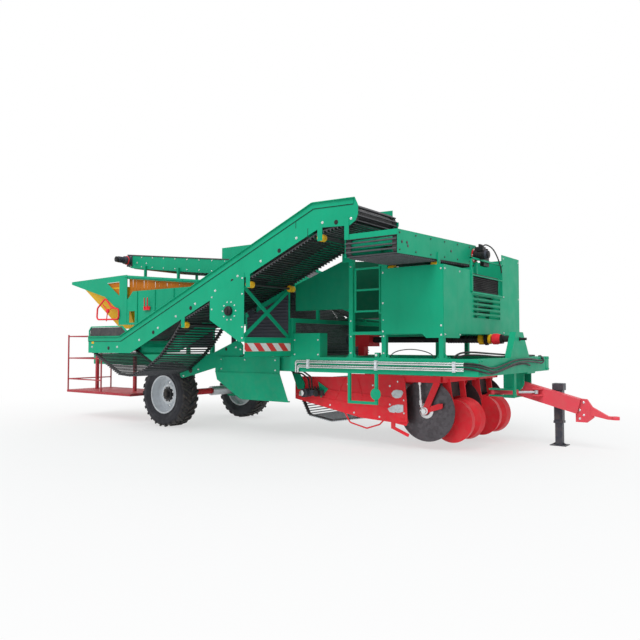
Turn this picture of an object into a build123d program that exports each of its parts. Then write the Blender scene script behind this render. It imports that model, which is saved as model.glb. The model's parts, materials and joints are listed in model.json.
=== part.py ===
"""Towed two-row potato harvester with a side elevator, a picking platform and a rear hopper.

All sizes are millimetres. The drawing frame has X forward from the axle, Y to the machine's
left from the right wheel's middle plane, and Z up from the ground. Finished pieces are
written in the machine's own frame, whose origin lies on the ground below the middle of
the overall box.
"""
import os
from math import atan2, cos, degrees, hypot, sin

from build123d import *

os.makedirs("parts", exist_ok=True)

# ---- driving dimensions -------------------------------------------------------------

sheet = 6                    # folded sheet panels
play = 0.3                   # seat gap between round pieces that touch
pin_play = 0.05              # running clearance on a pin's radius

hitch_reach = 6530           # axle to the tip of the hitch tongue
tail_reach = 2900            # axle to the tip of the hopper wing
right_reach = 1152           # right wheel's plane to the outside of the elevator's bearing
left_reach = 2330            # right wheel's plane to the outside of the left beam

tyre_radius = 525
tyre_width = 350
tyre_lug_height = 24
tyre_lug_width = 32
tyre_lug_skew = 120          # how far a lug leans round the tyre from centre to shoulder
tyre_lugs = 26               # on each side of the tread
rim_radius = 300
rim_flange = 10
disc_thickness = 10
track = 1780

beam_width = 120
beam_height = 200
beam_wall = 10
beam_bottom = 970
beam_top = beam_bottom + beam_height
beam_right = -180            # outer face of the right beam
beam_left = 2330             # outer face of the left beam
beam_rear = 1300
beam_front = 5440
tail_beam_rear = -2600
tail_beam_width = 100
tail_beam_ys = (300, 1380)   # right faces of the two beams between the wheels

post = 60                    # square posts of the platform
post_wall = 4
post_rear_x = 3690
gate_post_x = 4180
front_post_x = 4960
tower_x = 2640               # tower that carries the elevator and the inner conveyor
deck_top = 1500
deck_frame = 30

front_x = front_post_x + post    # rear face of the front panel
inner_right = beam_right + post  # inside faces of the posts
inner_left = beam_left - post

# ---- shared shapes ------------------------------------------------------------------


def solid_of(face, depth, mode=Mode.ADD):
    """Extrude a finished sketch into the part that is open."""
    extrude(face.sketch, amount=depth, mode=mode)


def plate_xz(outline, y, thickness, mode=Mode.ADD):
    """A plate standing fore and aft, from y towards the left; outline in X and Z."""
    with BuildSketch(Plane.XZ.offset(-y)) as face:
        with BuildLine():
            Polyline(*outline, close=True)
        make_face()
    solid_of(face, -thickness, mode)


def plate_yz(outline, x, thickness, mode=Mode.ADD):
    """A plate standing across the machine, from x forwards; outline in Y and Z."""
    with BuildSketch(Plane.YZ.offset(x)) as face:
        with BuildLine():
            Polyline(*outline, close=True)
        make_face()
    solid_of(face, thickness, mode)


def plate_xy(outline, z, thickness, mode=Mode.ADD):
    """A level plate, from z upwards; outline in X and Y."""
    with BuildSketch(Plane.XY.offset(z)) as face:
        with BuildLine():
            Polyline(*outline, close=True)
        make_face()
    solid_of(face, thickness, mode)


def block(x, y, z, mode=Mode.ADD):
    """A box from three (low, high) pairs."""
    with BuildSketch(Plane.XY.offset(z[0])) as face:
        with Locations(((x[0] + x[1]) / 2, (y[0] + y[1]) / 2)):
            Rectangle(x[1] - x[0], y[1] - y[0])
    solid_of(face, z[1] - z[0], mode)


def across(start, end):
    """A plane at start that looks along the line to end, its x direction level."""
    run = Vector(*end) - Vector(*start)
    level = Vector(0, 0, 1).cross(run)
    if level.length < 1e-6 * run.length:
        level = Vector(0, 1, 0)
    return Plane(origin=start, x_dir=level, z_dir=run), run.length


def bar(start, end, width, depth, wall=0, mode=Mode.ADD):
    """A square bar or tube between two points; width is level, depth across it."""
    plane, length = across(start, end)
    with BuildSketch(plane) as face:
        Rectangle(width, depth)
        if wall:
            Rectangle(width - 2 * wall, depth - 2 * wall, mode=Mode.SUBTRACT)
    solid_of(face, length, mode)


def rod(start, end, radius, bore=0, mode=Mode.ADD):
    """A round bar or tube between two points."""
    plane, length = across(start, end)
    with BuildSketch(plane) as face:
        Circle(radius)
        if bore:
            Circle(bore, mode=Mode.SUBTRACT)
    solid_of(face, length, mode)


def pipe(points, radius, bend, close=False):
    """A round pipe through points with tangent bends."""
    with BuildLine() as run:
        FilletPolyline(*points, radius=bend, close=close)
    with BuildSketch(Plane(origin=run.line @ 0, z_dir=run.line % 0)) as face:
        Circle(radius)
    sweep(face.sketch, path=run.line)


def rod_web(plane, corners, bend, width, pitch, bar_size, belts, belt_width, belt_thickness):
    """A fixed rod-link web: belts round a closed path with rods on their outer side.

    The path lies in plane, and the web reaches from there by width, against the plane's
    normal where width is negative.
    """
    step_over = (abs(width) - belt_width) / (belts - 1)
    sign = 1 if width > 0 else -1
    with BuildLine() as path:
        FilletPolyline(*corners, radius=bend, close=True)
    loop = path.wires()[0]
    for strip in range(belts):
        with BuildSketch(plane.offset(sign * strip * step_over)) as band:
            with BuildLine():
                FilletPolyline(*corners, radius=bend, close=True)
            make_face()
            offset(amount=-belt_thickness, mode=Mode.SUBTRACT)
        solid_of(band, sign * belt_width)
    places = []
    count = int(loop.length / pitch)
    for step in range(count):
        spot = loop.position_at(step / count)
        heading = loop.tangent_at(step / count)
        places.append(Location((spot.X, spot.Y), degrees(atan2(heading.Y, heading.X))))
    with BuildSketch(plane) as rods:
        with Locations(*places):
            Rectangle(bar_size, 2 * bar_size)
        with BuildLine():
            FilletPolyline(*corners, radius=bend, close=True)
        make_face(mode=Mode.SUBTRACT)
    solid_of(rods, width)


def under_run(start, end, share, radius, thickness):
    """The middle of a roller that carries a run, at a share of the way from start to end."""
    along, up = end[0] - start[0], end[1] - start[1]
    length = hypot(along, up)
    drop = thickness + radius + play
    side = -1 if along > 0 else 1
    return (start[0] + share * along - side * drop * up / length,
            start[1] + share * up + side * drop * along / length)


def save(piece, label):
    """Move a finished piece to the machine's own frame, name it and write it."""
    middle = ((hitch_reach - tail_reach) / 2, (left_reach - right_reach) / 2, 0)
    body = piece.part.moved(Location((-middle[0], -middle[1], 0)))
    body.label = label
    export_step(body, f"parts/{label}.step")


# ---- wheels, built about the Z axis with their outer side up --------------------------

hub_radius = 95
hub_length = 120
spindle_radius = 35
hub_bore = spindle_radius + pin_play
disc_offset = 40             # the disc's outer face, outside the middle plane

carcass_side = tyre_width / 2
tread_radius = tyre_radius - tyre_lug_height
bead = carcass_side - 38

with BuildPart() as rim_form:
    with BuildSketch(Plane.XZ) as rim_section:
        with BuildLine():
            Polyline((rim_radius - 10, -bead - 8), (rim_radius + rim_flange, -bead - 8),
                     (rim_radius + rim_flange, -bead), (rim_radius, -bead),
                     (rim_radius, bead), (rim_radius + rim_flange, bead),
                     (rim_radius + rim_flange, bead + 8), (rim_radius - 10, bead + 8), close=True)
        make_face()
        with BuildLine():
            Polyline((hub_radius, disc_offset), (hub_radius, disc_offset - disc_thickness),
                     (155, disc_offset - disc_thickness), (225, -20), (rim_radius - 9, -20),
                     (rim_radius - 9, -8), (232, -8), (162, disc_offset), close=True)
        make_face()
    revolve(rim_section.sketch, axis=Axis.Z)
    with PolarLocations(192, 8):
        Cylinder(20, tyre_width, mode=Mode.SUBTRACT)

with BuildPart() as hub_form:
    with BuildSketch(Plane.XZ) as hub_section:
        with BuildLine():
            Polyline((hub_bore, -hub_length / 2), (hub_radius - 25, -hub_length / 2),
                     (hub_radius - 25, disc_offset - 30), (hub_radius + 45, disc_offset - 30),
                     (hub_radius + 45, disc_offset - disc_thickness),
                     (hub_radius, disc_offset - disc_thickness),
                     (hub_radius, disc_offset + 22), (60, disc_offset + 26),
                     (50, disc_offset + 60), (0, disc_offset + 60),
                     (0, disc_offset + 45), (hub_bore, disc_offset + 45), close=True)
        make_face()
    revolve(hub_section.sketch, axis=Axis.Z)

with BuildPart() as tyre_form:
    with BuildSketch(Plane.XZ) as tyre_section:
        with BuildLine():
            Polyline((rim_radius + play, -bead + play), (rim_radius + play, bead - play),
                               (rim_radius + rim_flange + 2, bead - play), (rim_radius + 40, bead + 6),
                               (405, carcass_side),
                               (462, carcass_side - 8), (tread_radius, carcass_side - 34),
                               (tread_radius, -carcass_side + 34), (462, -carcass_side + 8),
                               (405, -carcass_side), (rim_radius + 40, -bead - 6),
                               (rim_radius + rim_flange + 2, -bead + play), close=True)
        make_face()
    revolve(tyre_section.sketch, axis=Axis.Z)
    for side in (1, -1):
        with BuildSketch(Plane.YZ.offset(tread_radius - 30)) as footprint:
            with BuildLine():
                Polyline((0, side * 6), (tyre_lug_width, side * 6),
                         (tyre_lug_width + tyre_lug_skew, side * (carcass_side - 4)),
                         (tyre_lug_skew, side * (carcass_side - 4)), close=True)
            make_face()
        with BuildPart(mode=Mode.PRIVATE) as lug:
            extrude(footprint.sketch, amount=tyre_lug_height + 50)
            with BuildSketch(Plane.XZ) as envelope:
                with BuildLine():
                    Polyline((rim_radius, -carcass_side), (tyre_radius - 40, -carcass_side),
                             (tyre_radius, -carcass_side + 30), (tyre_radius, carcass_side - 30),
                             (tyre_radius - 40, carcass_side), (rim_radius, carcass_side),
                             close=True)
                make_face()
            revolve(envelope.sketch, axis=Axis.Z, mode=Mode.INTERSECT)
        start = 0 if side > 0 else 180 / tyre_lugs
        with PolarLocations(0, tyre_lugs, start_angle=start):
            add(lug.part)

for label, wheel_y, tip in (("right", 0, 90), ("left", track, -90)):
    spot = Location((0, wheel_y, tyre_radius), (tip, 0, 0))
    with BuildPart() as wheel:
        add(rim_form.part.moved(spot))
        add(hub_form.part.moved(spot))
    save(wheel, f"{label}_wheel")
    with BuildPart() as tyre:
        add(tyre_form.part.moved(spot))
    save(tyre, f"{label}_tyre")

# ---- chassis --------------------------------------------------------------------------

axle_tube_radius = 53
axle_sleeve_radius = 80
sleeve_right = 910           # the sleeve's right end
spindle_start = 150          # inner end of each spindle, from the wheel's plane
axle_bracket = 200           # half length of the brackets that hang the axle
tower_top = 1700
tower_post_x = tower_x + post
elevator_right = -1106       # outer face of the outer wall
elevator_left = -200         # left face of the inner wall
dig_hinge = (2600, 750)
dig_right = 220              # outer face of the right side plate
dig_left = 2080
dig_wall = 12
hinge_radius = 25
crossbeam_xs = (beam_rear, 2420, 2940, beam_front - beam_width)
with BuildPart() as chassis_frame:
    for y in (beam_right, beam_left - beam_width):
        middle = (beam_bottom + beam_top) / 2
        bar((beam_rear, y + beam_width / 2, middle), (beam_front, y + beam_width / 2, middle),
            beam_width, beam_height, beam_wall)
    for x in crossbeam_xs:
        bar((x + beam_width / 2, beam_right + beam_width, middle),
            (x + beam_width / 2, beam_left - beam_width, middle), beam_width, beam_height, beam_wall)
    for y in tail_beam_ys:
        bar((beam_rear, y + tail_beam_width / 2, middle),
            (tail_beam_rear, y + tail_beam_width / 2, middle),
            tail_beam_width, beam_height, beam_wall)
    for x in (tail_beam_rear, -1260):
        bar((x + 50, tail_beam_ys[0] + tail_beam_width, middle),
            (x + 50, tail_beam_ys[1], middle), 100, 120, beam_wall)
    for y, radius in zip(tail_beam_ys, (axle_tube_radius, axle_sleeve_radius)):
        plate_xz(((-axle_bracket, beam_bottom), (axle_bracket, beam_bottom),
                  (120, tyre_radius - 60), (60, tyre_radius - 120), (-60, tyre_radius - 120),
                  (-120, tyre_radius - 60)), y + 20, tail_beam_width - 40)
        rod((0, y, tyre_radius), (0, y + tail_beam_width, tyre_radius), radius + play,
            mode=Mode.SUBTRACT)
    for y in (beam_right + post / 2, beam_left - post / 2):
        bar((tower_post_x + post / 2, y, beam_top), (tower_post_x + post / 2, y, tower_top),
            post, post, post_wall)
    bar((tower_post_x + post / 2, beam_right + post, tower_top - post / 2),
        (tower_post_x + post / 2, beam_left - post, tower_top - post / 2), post, post, post_wall)
    block((-640, -580), (elevator_left, tail_beam_ys[0] + tail_beam_width), (beam_top, beam_top + 60))
    for y in (dig_right - 24, dig_left + 6):
        plate_xz(((2420, beam_bottom), (2540, beam_bottom), (2660, dig_hinge[1] + 40),
                  (2660, dig_hinge[1] - 50), (2540, dig_hinge[1] - 50)), y, 18)
    for start, end in ((dig_right - 24, dig_right + dig_wall), (dig_left - dig_wall, dig_left + 24)):
        rod((dig_hinge[0], start, dig_hinge[1]), (dig_hinge[0], end, dig_hinge[1]), hinge_radius)
save(chassis_frame, "chassis_frame")

# ---- axle: a sliding tube and sleeve between the wheels, hung from the tail beams -------


with BuildPart() as axle_tube:
    rod((0, spindle_start, tyre_radius), (0, sleeve_right + 250, tyre_radius), axle_tube_radius)
    rod((0, -disc_offset, tyre_radius), (0, spindle_start, tyre_radius), spindle_radius)
    rod((0, spindle_start - 20, tyre_radius), (0, spindle_start, tyre_radius), 90)
save(axle_tube, "axle_tube")

with BuildPart() as axle_sleeve:
    sleeve_left = track - spindle_start
    rod((0, sleeve_right, tyre_radius), (0, sleeve_left, tyre_radius), axle_sleeve_radius)
    rod((0, sleeve_right, tyre_radius), (0, sleeve_right + 250, tyre_radius),
        axle_tube_radius + play, mode=Mode.SUBTRACT)
    rod((0, sleeve_left, tyre_radius), (0, sleeve_left + 20, tyre_radius), 90)
    rod((0, sleeve_left, tyre_radius), (0, track + disc_offset, tyre_radius), spindle_radius)
save(axle_sleeve, "axle_sleeve")

# ---- platform: posts, deck, panels, gate and step -------------------------------------

post_tops = ((post_rear_x, 2520), (gate_post_x, 2365), (front_post_x, 2280))
left_post_top = 2590
gate_tube = 15
gate_hinge_x = gate_post_x - 36
gate_latch_x = post_rear_x + post + 22
gate_low = 1745
gate_high = 2320
gate_pin = 8
gate_y = beam_right + post / 2

with BuildPart() as platform_posts:
    for x, top in post_tops:
        middle = x + post / 2
        for y, height in ((beam_right + post / 2, top), (beam_left - post / 2, left_post_top)):
            bar((middle, y, beam_top), (middle, y, height), post, post, post_wall)
    for z, pin_up in ((gate_low - 20 - play, 1), (gate_high + play, -1)):
        block((gate_hinge_x - gate_tube, gate_post_x), (gate_y - gate_tube, gate_y + gate_tube),
              (z, z + 20))
        pin_start = z + 20 if pin_up > 0 else z
        rod((gate_hinge_x, gate_y, pin_start), (gate_hinge_x, gate_y, pin_start + pin_up * 35),
            gate_pin)
    for x in (post_rear_x, gate_post_x, front_post_x):
        plate_xz(((x - 45, beam_top), (x + post + 45, beam_top), (x + post, beam_top + 80),
                  (x, beam_top + 80)), beam_right + post / 2 - 5, 10)
    block((3600, post_rear_x + post), (elevator_left, beam_right), (2400, 2860))
save(platform_posts, "platform_posts")

with BuildPart() as gate:
    middle_rail = (gate_low + gate_high) / 2
    for x in (gate_latch_x, gate_hinge_x):
        rod((x, gate_y, gate_low), (x, gate_y, gate_high), gate_tube)
    for z in (gate_low + gate_tube, middle_rail, gate_high - gate_tube):
        rod((gate_latch_x, gate_y, z), (gate_hinge_x, gate_y, z), gate_tube - 2)
    for z, depth in ((gate_low, 40), (gate_high, -40)):
        rod((gate_hinge_x, gate_y, z), (gate_hinge_x, gate_y, z + depth), gate_pin + pin_play,
            mode=Mode.SUBTRACT)
save(gate, "gate")

with BuildPart() as deck:
    block((post_rear_x + post, front_x - post), (inner_right + sheet, inner_left - sheet),
          (deck_top - 5, deck_top))
    for x in (post_rear_x + post + 20, gate_post_x, front_x - post - 20):
        bar((x, inner_right + sheet, deck_top - 20), (x, inner_left - sheet, deck_top - 20),
            40, deck_frame)
    for y in (beam_right + 20, beam_left - 20):
        bar((post_rear_x + post, y, deck_top - 20), (gate_post_x, y, deck_top - 20), 40, 40)
        bar((gate_post_x + post, y, deck_top - 20), (front_post_x, y, deck_top - 20), 40, 40)
save(deck, "deck")

panel_low = 1470
panel_tab_low = 1415
panel_high = 2280
with BuildPart() as side_panel:
    plate_xz(((gate_post_x, panel_low), (4740, panel_low), (4800, panel_tab_low),
              (front_x, panel_tab_low), (front_x, panel_high), (gate_post_x, panel_high)),
             beam_right - sheet, sheet)
save(side_panel, "side_panel")

notch = (600, 1650, 2000)    # right side, left side and bottom of the front panel's notch
louvre_ys = (660, 1550)
louvre_low = 1680
louvre_pitch = 64
with BuildPart() as front_panel:
    plate_yz(((beam_right, panel_tab_low), (240, panel_tab_low), (300, panel_low),
              (beam_left, panel_low), (beam_left, left_post_top), (notch[1], left_post_top),
              (notch[1], notch[2]), (notch[0], notch[2]), (notch[0], panel_high),
              (beam_right, panel_high)), front_x, sheet)
    for step in range(5):
        low = louvre_low + step * louvre_pitch
        block((front_x, front_x + sheet), louvre_ys, (low, low + 36), mode=Mode.SUBTRACT)
        bar((front_x + 14, louvre_ys[0], low + 24), (front_x + 14, louvre_ys[1], low + 24), 28, 3)
        block((front_x, front_x + 16), (louvre_ys[0] - 3, louvre_ys[0]), (low, low + 36))
        block((front_x, front_x + 16), (louvre_ys[1], louvre_ys[1] + 3), (low, low + 36))
save(front_panel, "front_panel")

with BuildPart() as left_wall:
    plate_xz(((1980, tower_top + 20), (tower_x + 2 * post, tower_top + 20),
              (tower_x + 2 * post, panel_low), (front_x, panel_low), (front_x, left_post_top),
              (2900, left_post_top), (1980, 2150)), inner_left - sheet, sheet)
save(left_wall, "left_wall")

with BuildPart() as middle_panel:
    plate_xz(((tower_x + 120, 1800), (post_rear_x + post, 1800), (post_rear_x + post, 2500),
              (tower_x + 120, 2160)), inner_right, sheet)
save(middle_panel, "middle_panel")

step_tube = 35
step_bottom = 585
with BuildPart() as step:
    step_y = beam_right + step_tube / 2
    for x in (3670, 4075):
        bar((x + step_tube / 2, step_y, step_bottom), (x + step_tube / 2, step_y, beam_bottom),
            step_tube, step_tube)
    bar((3670, step_y, step_bottom + step_tube / 2), (4110, step_y, step_bottom + step_tube / 2),
        step_tube, step_tube)
    rod((4095, step_y - step_tube / 2 - 12, 720), (4095, step_y - step_tube / 2, 720), 72)
save(step, "step")

# ---- tower, tank and drive ------------------------------------------------------------

with BuildPart() as oil_tank:
    block((tower_post_x + post, 3220), (beam_right, 0), (beam_top, 1490))
    fillet(oil_tank.edges().filter_by(Axis.Z), 12)
save(oil_tank, "oil_tank")

drive_y = 1220
drive_z = 1410
shaft_guard_radius = 45
stub_radius = 17.45          # 35 mm power take-off stub
stub_length = 80
journal_radius = 24          # the shaft where it runs in the stand
stand_x = 5340
stand_depth = 80
with BuildPart() as gearbox:
    block((2940, 3200), (drive_y - 150, drive_y + 150), (drive_z - 100, drive_z + 80))
    block((2950, 3050), (drive_y - 60, drive_y + 60), (beam_top, drive_z - 100))
save(gearbox, "gearbox")

with BuildPart() as drive_shaft:
    rod((3200, drive_y, drive_z), (5080, drive_y, drive_z), shaft_guard_radius)
    rod((5080, drive_y, drive_z), (5200, drive_y, drive_z), 62)
    rod((5200, drive_y, drive_z), (stand_x, drive_y, drive_z), 40)
    stub_start = stand_x + stand_depth + 10
    rod((stand_x, drive_y, drive_z), (stub_start, drive_y, drive_z), journal_radius)
    rod((stub_start, drive_y, drive_z), (stub_start + stub_length, drive_y, drive_z), stub_radius)
save(drive_shaft, "drive_shaft")

with BuildPart() as drive_stand:
    plate_yz(((drive_y - 330, beam_top), (drive_y + 370, beam_top), (drive_y + 130, 1500),
              (drive_y - 130, 1500)), stand_x, stand_depth)
    rod((stand_x, drive_y, drive_z), (stand_x + stand_depth, drive_y, drive_z),
        journal_radius + play, mode=Mode.SUBTRACT)
save(drive_stand, "drive_stand")

pipe_radius = 16
pipe_y = beam_right - pipe_radius - 4
pipe_zs = (1108, 1046)
clamp_xs = (3040, 4110, 5160)
with BuildPart() as hydraulic_pipes:
    for z, x in zip(pipe_zs, (2820, 2880)):
        pipe([(x, pipe_y, 930), (x, pipe_y, z), (5280, pipe_y, z)], pipe_radius, 45)
    for x in clamp_xs:
        block((x - 14, x + 14), (beam_right - 46, beam_right), (pipe_zs[1] - 30, pipe_zs[0] + 30))
save(hydraulic_pipes, "hydraulic_pipes")

# ---- side elevator ---------------------------------------------------------------------

tail_x = -650
tail_low = 1210
tail_high = 1470
knee_x = 400                 # where the lower edge turns upwards
neck_x = 3920                # where the lower edge levels out again
neck_low = 2690
head_low = 2670
head_high = 2985
elevator_slope = (neck_low - tail_low) / (neck_x - knee_x)
web_edge = 5                 # between a wall and the rods' ends
rod_size = 12
belt_thickness = 12
belt_width = 60
web_pitch = 110

head_x = 4445
elevator_outline = ((tail_x, tail_low), (knee_x, tail_low), (neck_x, neck_low), (4330, head_low),
                    (head_x - 30, 2720), (head_x, 2790), (head_x, 2890), (head_x - 45, head_high),
                    (3810, 3000), (170, tail_high), (tail_x, tail_high))
idler_radius = 45
idler_width = 80
idler_shaft = 15
end_roller = 50              # radius of the rollers at the other conveyors' ends
idler_spots = ((3915, 2577), (2780, 2098), (1565, 1610))
sag_spots = ((1340, 1436), (1072, 1182), (738, 975), (400, 882), (120, 900), (-300, 1095))
idler_rise = idler_radius + rod_size + 4


def over_idler(spot, slope):
    """The web's path where it runs over an idler, at the given slope."""
    angle = atan2(slope, 1)
    return (spot[0] - idler_rise * sin(angle), spot[1] + idler_rise * cos(angle))


elevator_path = [(tail_x + 30, tail_high - 60), (180, tail_high - 60), (3860, 2905), (4412, 2900),
                 (4412, 2715)]
elevator_path += [over_idler(spot, slope) for spot, slope in zip(idler_spots, (0.4, 0.41, 0.6))]
elevator_path += [*sag_spots, (tail_x + 30, 1255)]

head_drum = (2900 - 2715 - 2 * belt_thickness) / 2 - play
tail_drum = (tail_high - 60 - 1255 - 2 * belt_thickness) / 2 - play
with BuildPart() as elevator_web:
    rod_web(Plane.XZ.offset(-(elevator_right + sheet + web_edge)), elevator_path, 70,
            -(elevator_left - elevator_right - 2 * sheet - 2 * web_edge), web_pitch, rod_size, 2,
            belt_width, belt_thickness)
save(elevator_web, "elevator_web")


def wall_low(x):
    """The height of the elevator wall's lower edge at x, on its slope."""
    return tail_low + (x - knee_x) * elevator_slope


for label, y in (("outer", elevator_right), ("inner", elevator_left - sheet)):
    with BuildPart() as elevator_wall:
        plate_xz(elevator_outline, y, sheet)
        if label == "inner":
            block((4360, head_x + 5), (y, y + sheet), (2830, head_high + 5), mode=Mode.SUBTRACT)
        for x, z in idler_spots:
            bar((x, y + sheet / 2, z - 40), (x, y + sheet / 2, wall_low(min(x, neck_x)) + 60), sheet, 70)
        if label == "outer":
            lip = ((head_x - 45, head_high - 4), (3810, 2996), (170, tail_high - 4),
                   (tail_x, tail_high - 4))
            for start, end in zip(lip, lip[1:]):
                bar((start[0], y - 15, start[1] - 8), (end[0], y - 15, end[1] - 8), 30, 6)
        else:
            for x in (300, 1500, 2600, 3600):
                z = wall_low(max(x, knee_x)) + 110
                bar((x, elevator_right + sheet, z), (x, y, z), 50, 50, 4)
    save(elevator_wall, f"elevator_{label}_wall")

# ---- sizes of the cross conveyor under the elevator's head

cross_rear = 4265
cross_front = 4945
cross_right = elevator_right
cross_left = 950
cross_rise = 70              # the left end stands this much higher
cross_low = 2310
cross_high = 2570


def cross_z(y):
    """How much the cross conveyor has risen at y."""
    return cross_rise * (y - cross_right) / (cross_left - cross_right)


cross_idler = (-130, cross_low + 26 - belt_thickness - play - idler_radius)
cross_path = ((cross_right + 14, cross_high - 50), (cross_left - 14, cross_high - 50 + cross_rise),
              (cross_left - 14, cross_low - 10 + cross_rise), (cross_idler[0], cross_low + 26),
              (cross_right + 14, cross_low + 10))

with BuildPart() as elevator_rollers:
    span = (elevator_right + sheet, elevator_left - sheet)
    for x, z, radius in ((4412 - belt_thickness - play - head_drum, (2900 + 2715) / 2, head_drum),
                         (tail_x + 30 + belt_thickness + play + tail_drum,
                          (tail_high - 60 + 1255) / 2, tail_drum)):
        rod((x, span[0], z), (x, span[1], z), radius)
    for x, z in idler_spots:
        rod((x, span[0], z), (x, span[1], z), idler_shaft)
        rod((x, span[0], z), (x, span[0] + idler_width, z), idler_radius)
        rod((x, span[1] - idler_width, z), (x, span[1], z), idler_radius)
    y, z = cross_idler
    rod((cross_rear + sheet, y, z), (cross_front - sheet, y, z), idler_shaft)
    rod((cross_rear + sheet, y, z), (cross_rear + sheet + idler_width, y, z), idler_radius)
    rod((cross_front - sheet - idler_width, y, z), (cross_front - sheet, y, z), idler_radius)
save(elevator_rollers, "elevator_rollers")

brace_x = tower_post_x
bearing_spot = (2460, 1770)
with BuildPart() as elevator_brace:
    outline = ((2100, wall_low(2100) + 60), (2720, wall_low(2720) + 60), (2720, 1370), (2640, 1370),
               (2100, 1660))
    for y in (elevator_right - sheet, elevator_left):
        plate_xz(outline, y, sheet)
    bar((brace_x + 5, elevator_right, 1400), (brace_x + 5, beam_right, 1400), 40, 60)
    for low, high in (((elevator_right, 1430), (elevator_left, 2080)),
                      ((elevator_right, 2080), (elevator_left, 1430))):
        bar((brace_x, *low), (brace_x, *high), 12, 50)
    block((brace_x + 25, brace_x + 30), (elevator_right, beam_right), (1180, 1430))
    rod((bearing_spot[0], elevator_right - sheet - 40, bearing_spot[1]),
        (bearing_spot[0], elevator_right - sheet, bearing_spot[1]), 50)
save(elevator_brace, "elevator_brace")

with BuildPart() as warning_board:
    block((brace_x + 30, brace_x + 34), (elevator_right, beam_right - 20), (1250, 1356))
save(warning_board, "warning_board")

with BuildPart() as tail_curtain:
    plate_xz(((-600, tail_high), (-600, 1560), (-560, 1600), (200, 1600), (300, tail_high + 62),
              (170, tail_high)), elevator_right, 8)
save(tail_curtain, "tail_curtain")

skirt_fold = 930             # above this height the skirt stands upright, below it leans in
skirt_y = beam_right - 46
skirt_lean = 90
with BuildPart() as skirt:
    plate_xz(((1290, skirt_fold), (2560, skirt_fold), (2560, 1160), (1330, 1160), (1290, 1120)),
             skirt_y, sheet)
    lean = Plane(origin=(0, skirt_y, skirt_fold), x_dir=(1, 0, 0),
                 z_dir=(0, skirt_fold - 540, skirt_lean))
    with BuildSketch(lean) as lower:
        with BuildLine():
            Polyline((1290, 0), (2560, 0), (2640, 400), (1720, 400), (1300, 120), close=True)
        make_face()
    solid_of(lower, sheet)
    block((1860, 2560), (skirt_y + sheet, beam_right), (beam_top - 12, beam_top))
    block((1760, 2640), (skirt_y + skirt_lean, skirt_y + skirt_lean + 40), (535, 550))
save(skirt, "skirt")

arm_y = beam_right - 26      # right face of the plate, just behind the sagging web
arm_depth = 12
with BuildPart() as arm_plate:
    with BuildSketch(Plane.XZ.offset(-arm_y)) as arm_face:
        with BuildLine():
            Polyline((480, 796), (1560, 1060), (1840, 1200), (1840, 1330), (1750, 1410), (470, 929),
                     close=True)
        make_face()
        fillet(arm_face.vertices().sort_by(Axis.X)[:2], 60)
    extrude(amount=-arm_depth)
    for x, z in ((1380, 1090), (1530, 1110)):
        rod((x, arm_y + arm_depth, z), (x, beam_right, z), 30)
save(arm_plate, "arm_plate")

# ---- cross conveyor ----------------------------------------------------------------------

with BuildPart() as cross_conveyor:
    for x in (cross_rear, cross_front - sheet):
        plate_yz(((cross_right + sheet, cross_low), (cross_left, cross_low + cross_rise),
                  (cross_left + 60, cross_low + cross_rise + 120),
                  (cross_left, cross_high + cross_rise), (cross_right + sheet, cross_high)), x, sheet)
    block((cross_rear, cross_front), (cross_right, cross_right + sheet), (cross_high - 60, cross_high))
    for y in (-300, 500):
        z = (cross_low + cross_high) / 2 + cross_z(y)
        bar((cross_rear + sheet, y, z), (cross_front - sheet, y, z), 50, 50, 4)
    block((cross_rear, cross_rear + 60), (cross_right - sheet, cross_right), (cross_high - 60, 2760))
    for x in (cross_rear, cross_front - sheet):
        block((x, x + sheet), (cross_idler[0] - 40, cross_idler[0] + 40),
              (cross_idler[1] - 25, cross_low + 80))
    block((gate_post_x + post, cross_rear), (beam_right, inner_right), (2250, 2450))
    block((cross_front, front_post_x), (beam_right, inner_right), (2200, 2420))
    block((cross_front, cross_front + 40), (880, 920), (deck_top, cross_low + 110))
    for share in (0.04, 0.96):
        y, z = under_run(cross_path[0], cross_path[1], share, end_roller, belt_thickness)
        rod((cross_rear + sheet, y, z), (cross_front - sheet, y, z), end_roller)
save(cross_conveyor, "cross_conveyor")

with BuildPart() as cross_web:
    rod_web(Plane.YZ.offset(cross_rear + sheet + web_edge), cross_path, 60,
            cross_front - cross_rear - 2 * sheet - 2 * web_edge, web_pitch, rod_size, 2,
            belt_width, belt_thickness)
save(cross_web, "cross_web")

# ---- inner conveyor: level picking table, then a rise to the rear -----------------------

table_right = 450
table_left = 1656
table_front = 4900
table_knee = 3250
table_low = 1800
table_depth = 270
table_end = 950
table_end_low = 2700
box_low = 2540               # lower edge of the receiving box at the table's end
box_high = 2930
table_slope = (table_end_low - table_low) / (table_knee - table_end)
table_outline = ((table_front, table_low), (table_knee, table_low), (table_end, table_end_low),
                 (table_end, table_end_low + table_depth - 40), (table_knee - 30, table_low + table_depth),
                 (table_front, table_low + table_depth))


def table_bottom(x):
    """The height of the table wall's lower edge at x."""
    return table_low + max(0, table_knee - x) * table_slope


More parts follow.
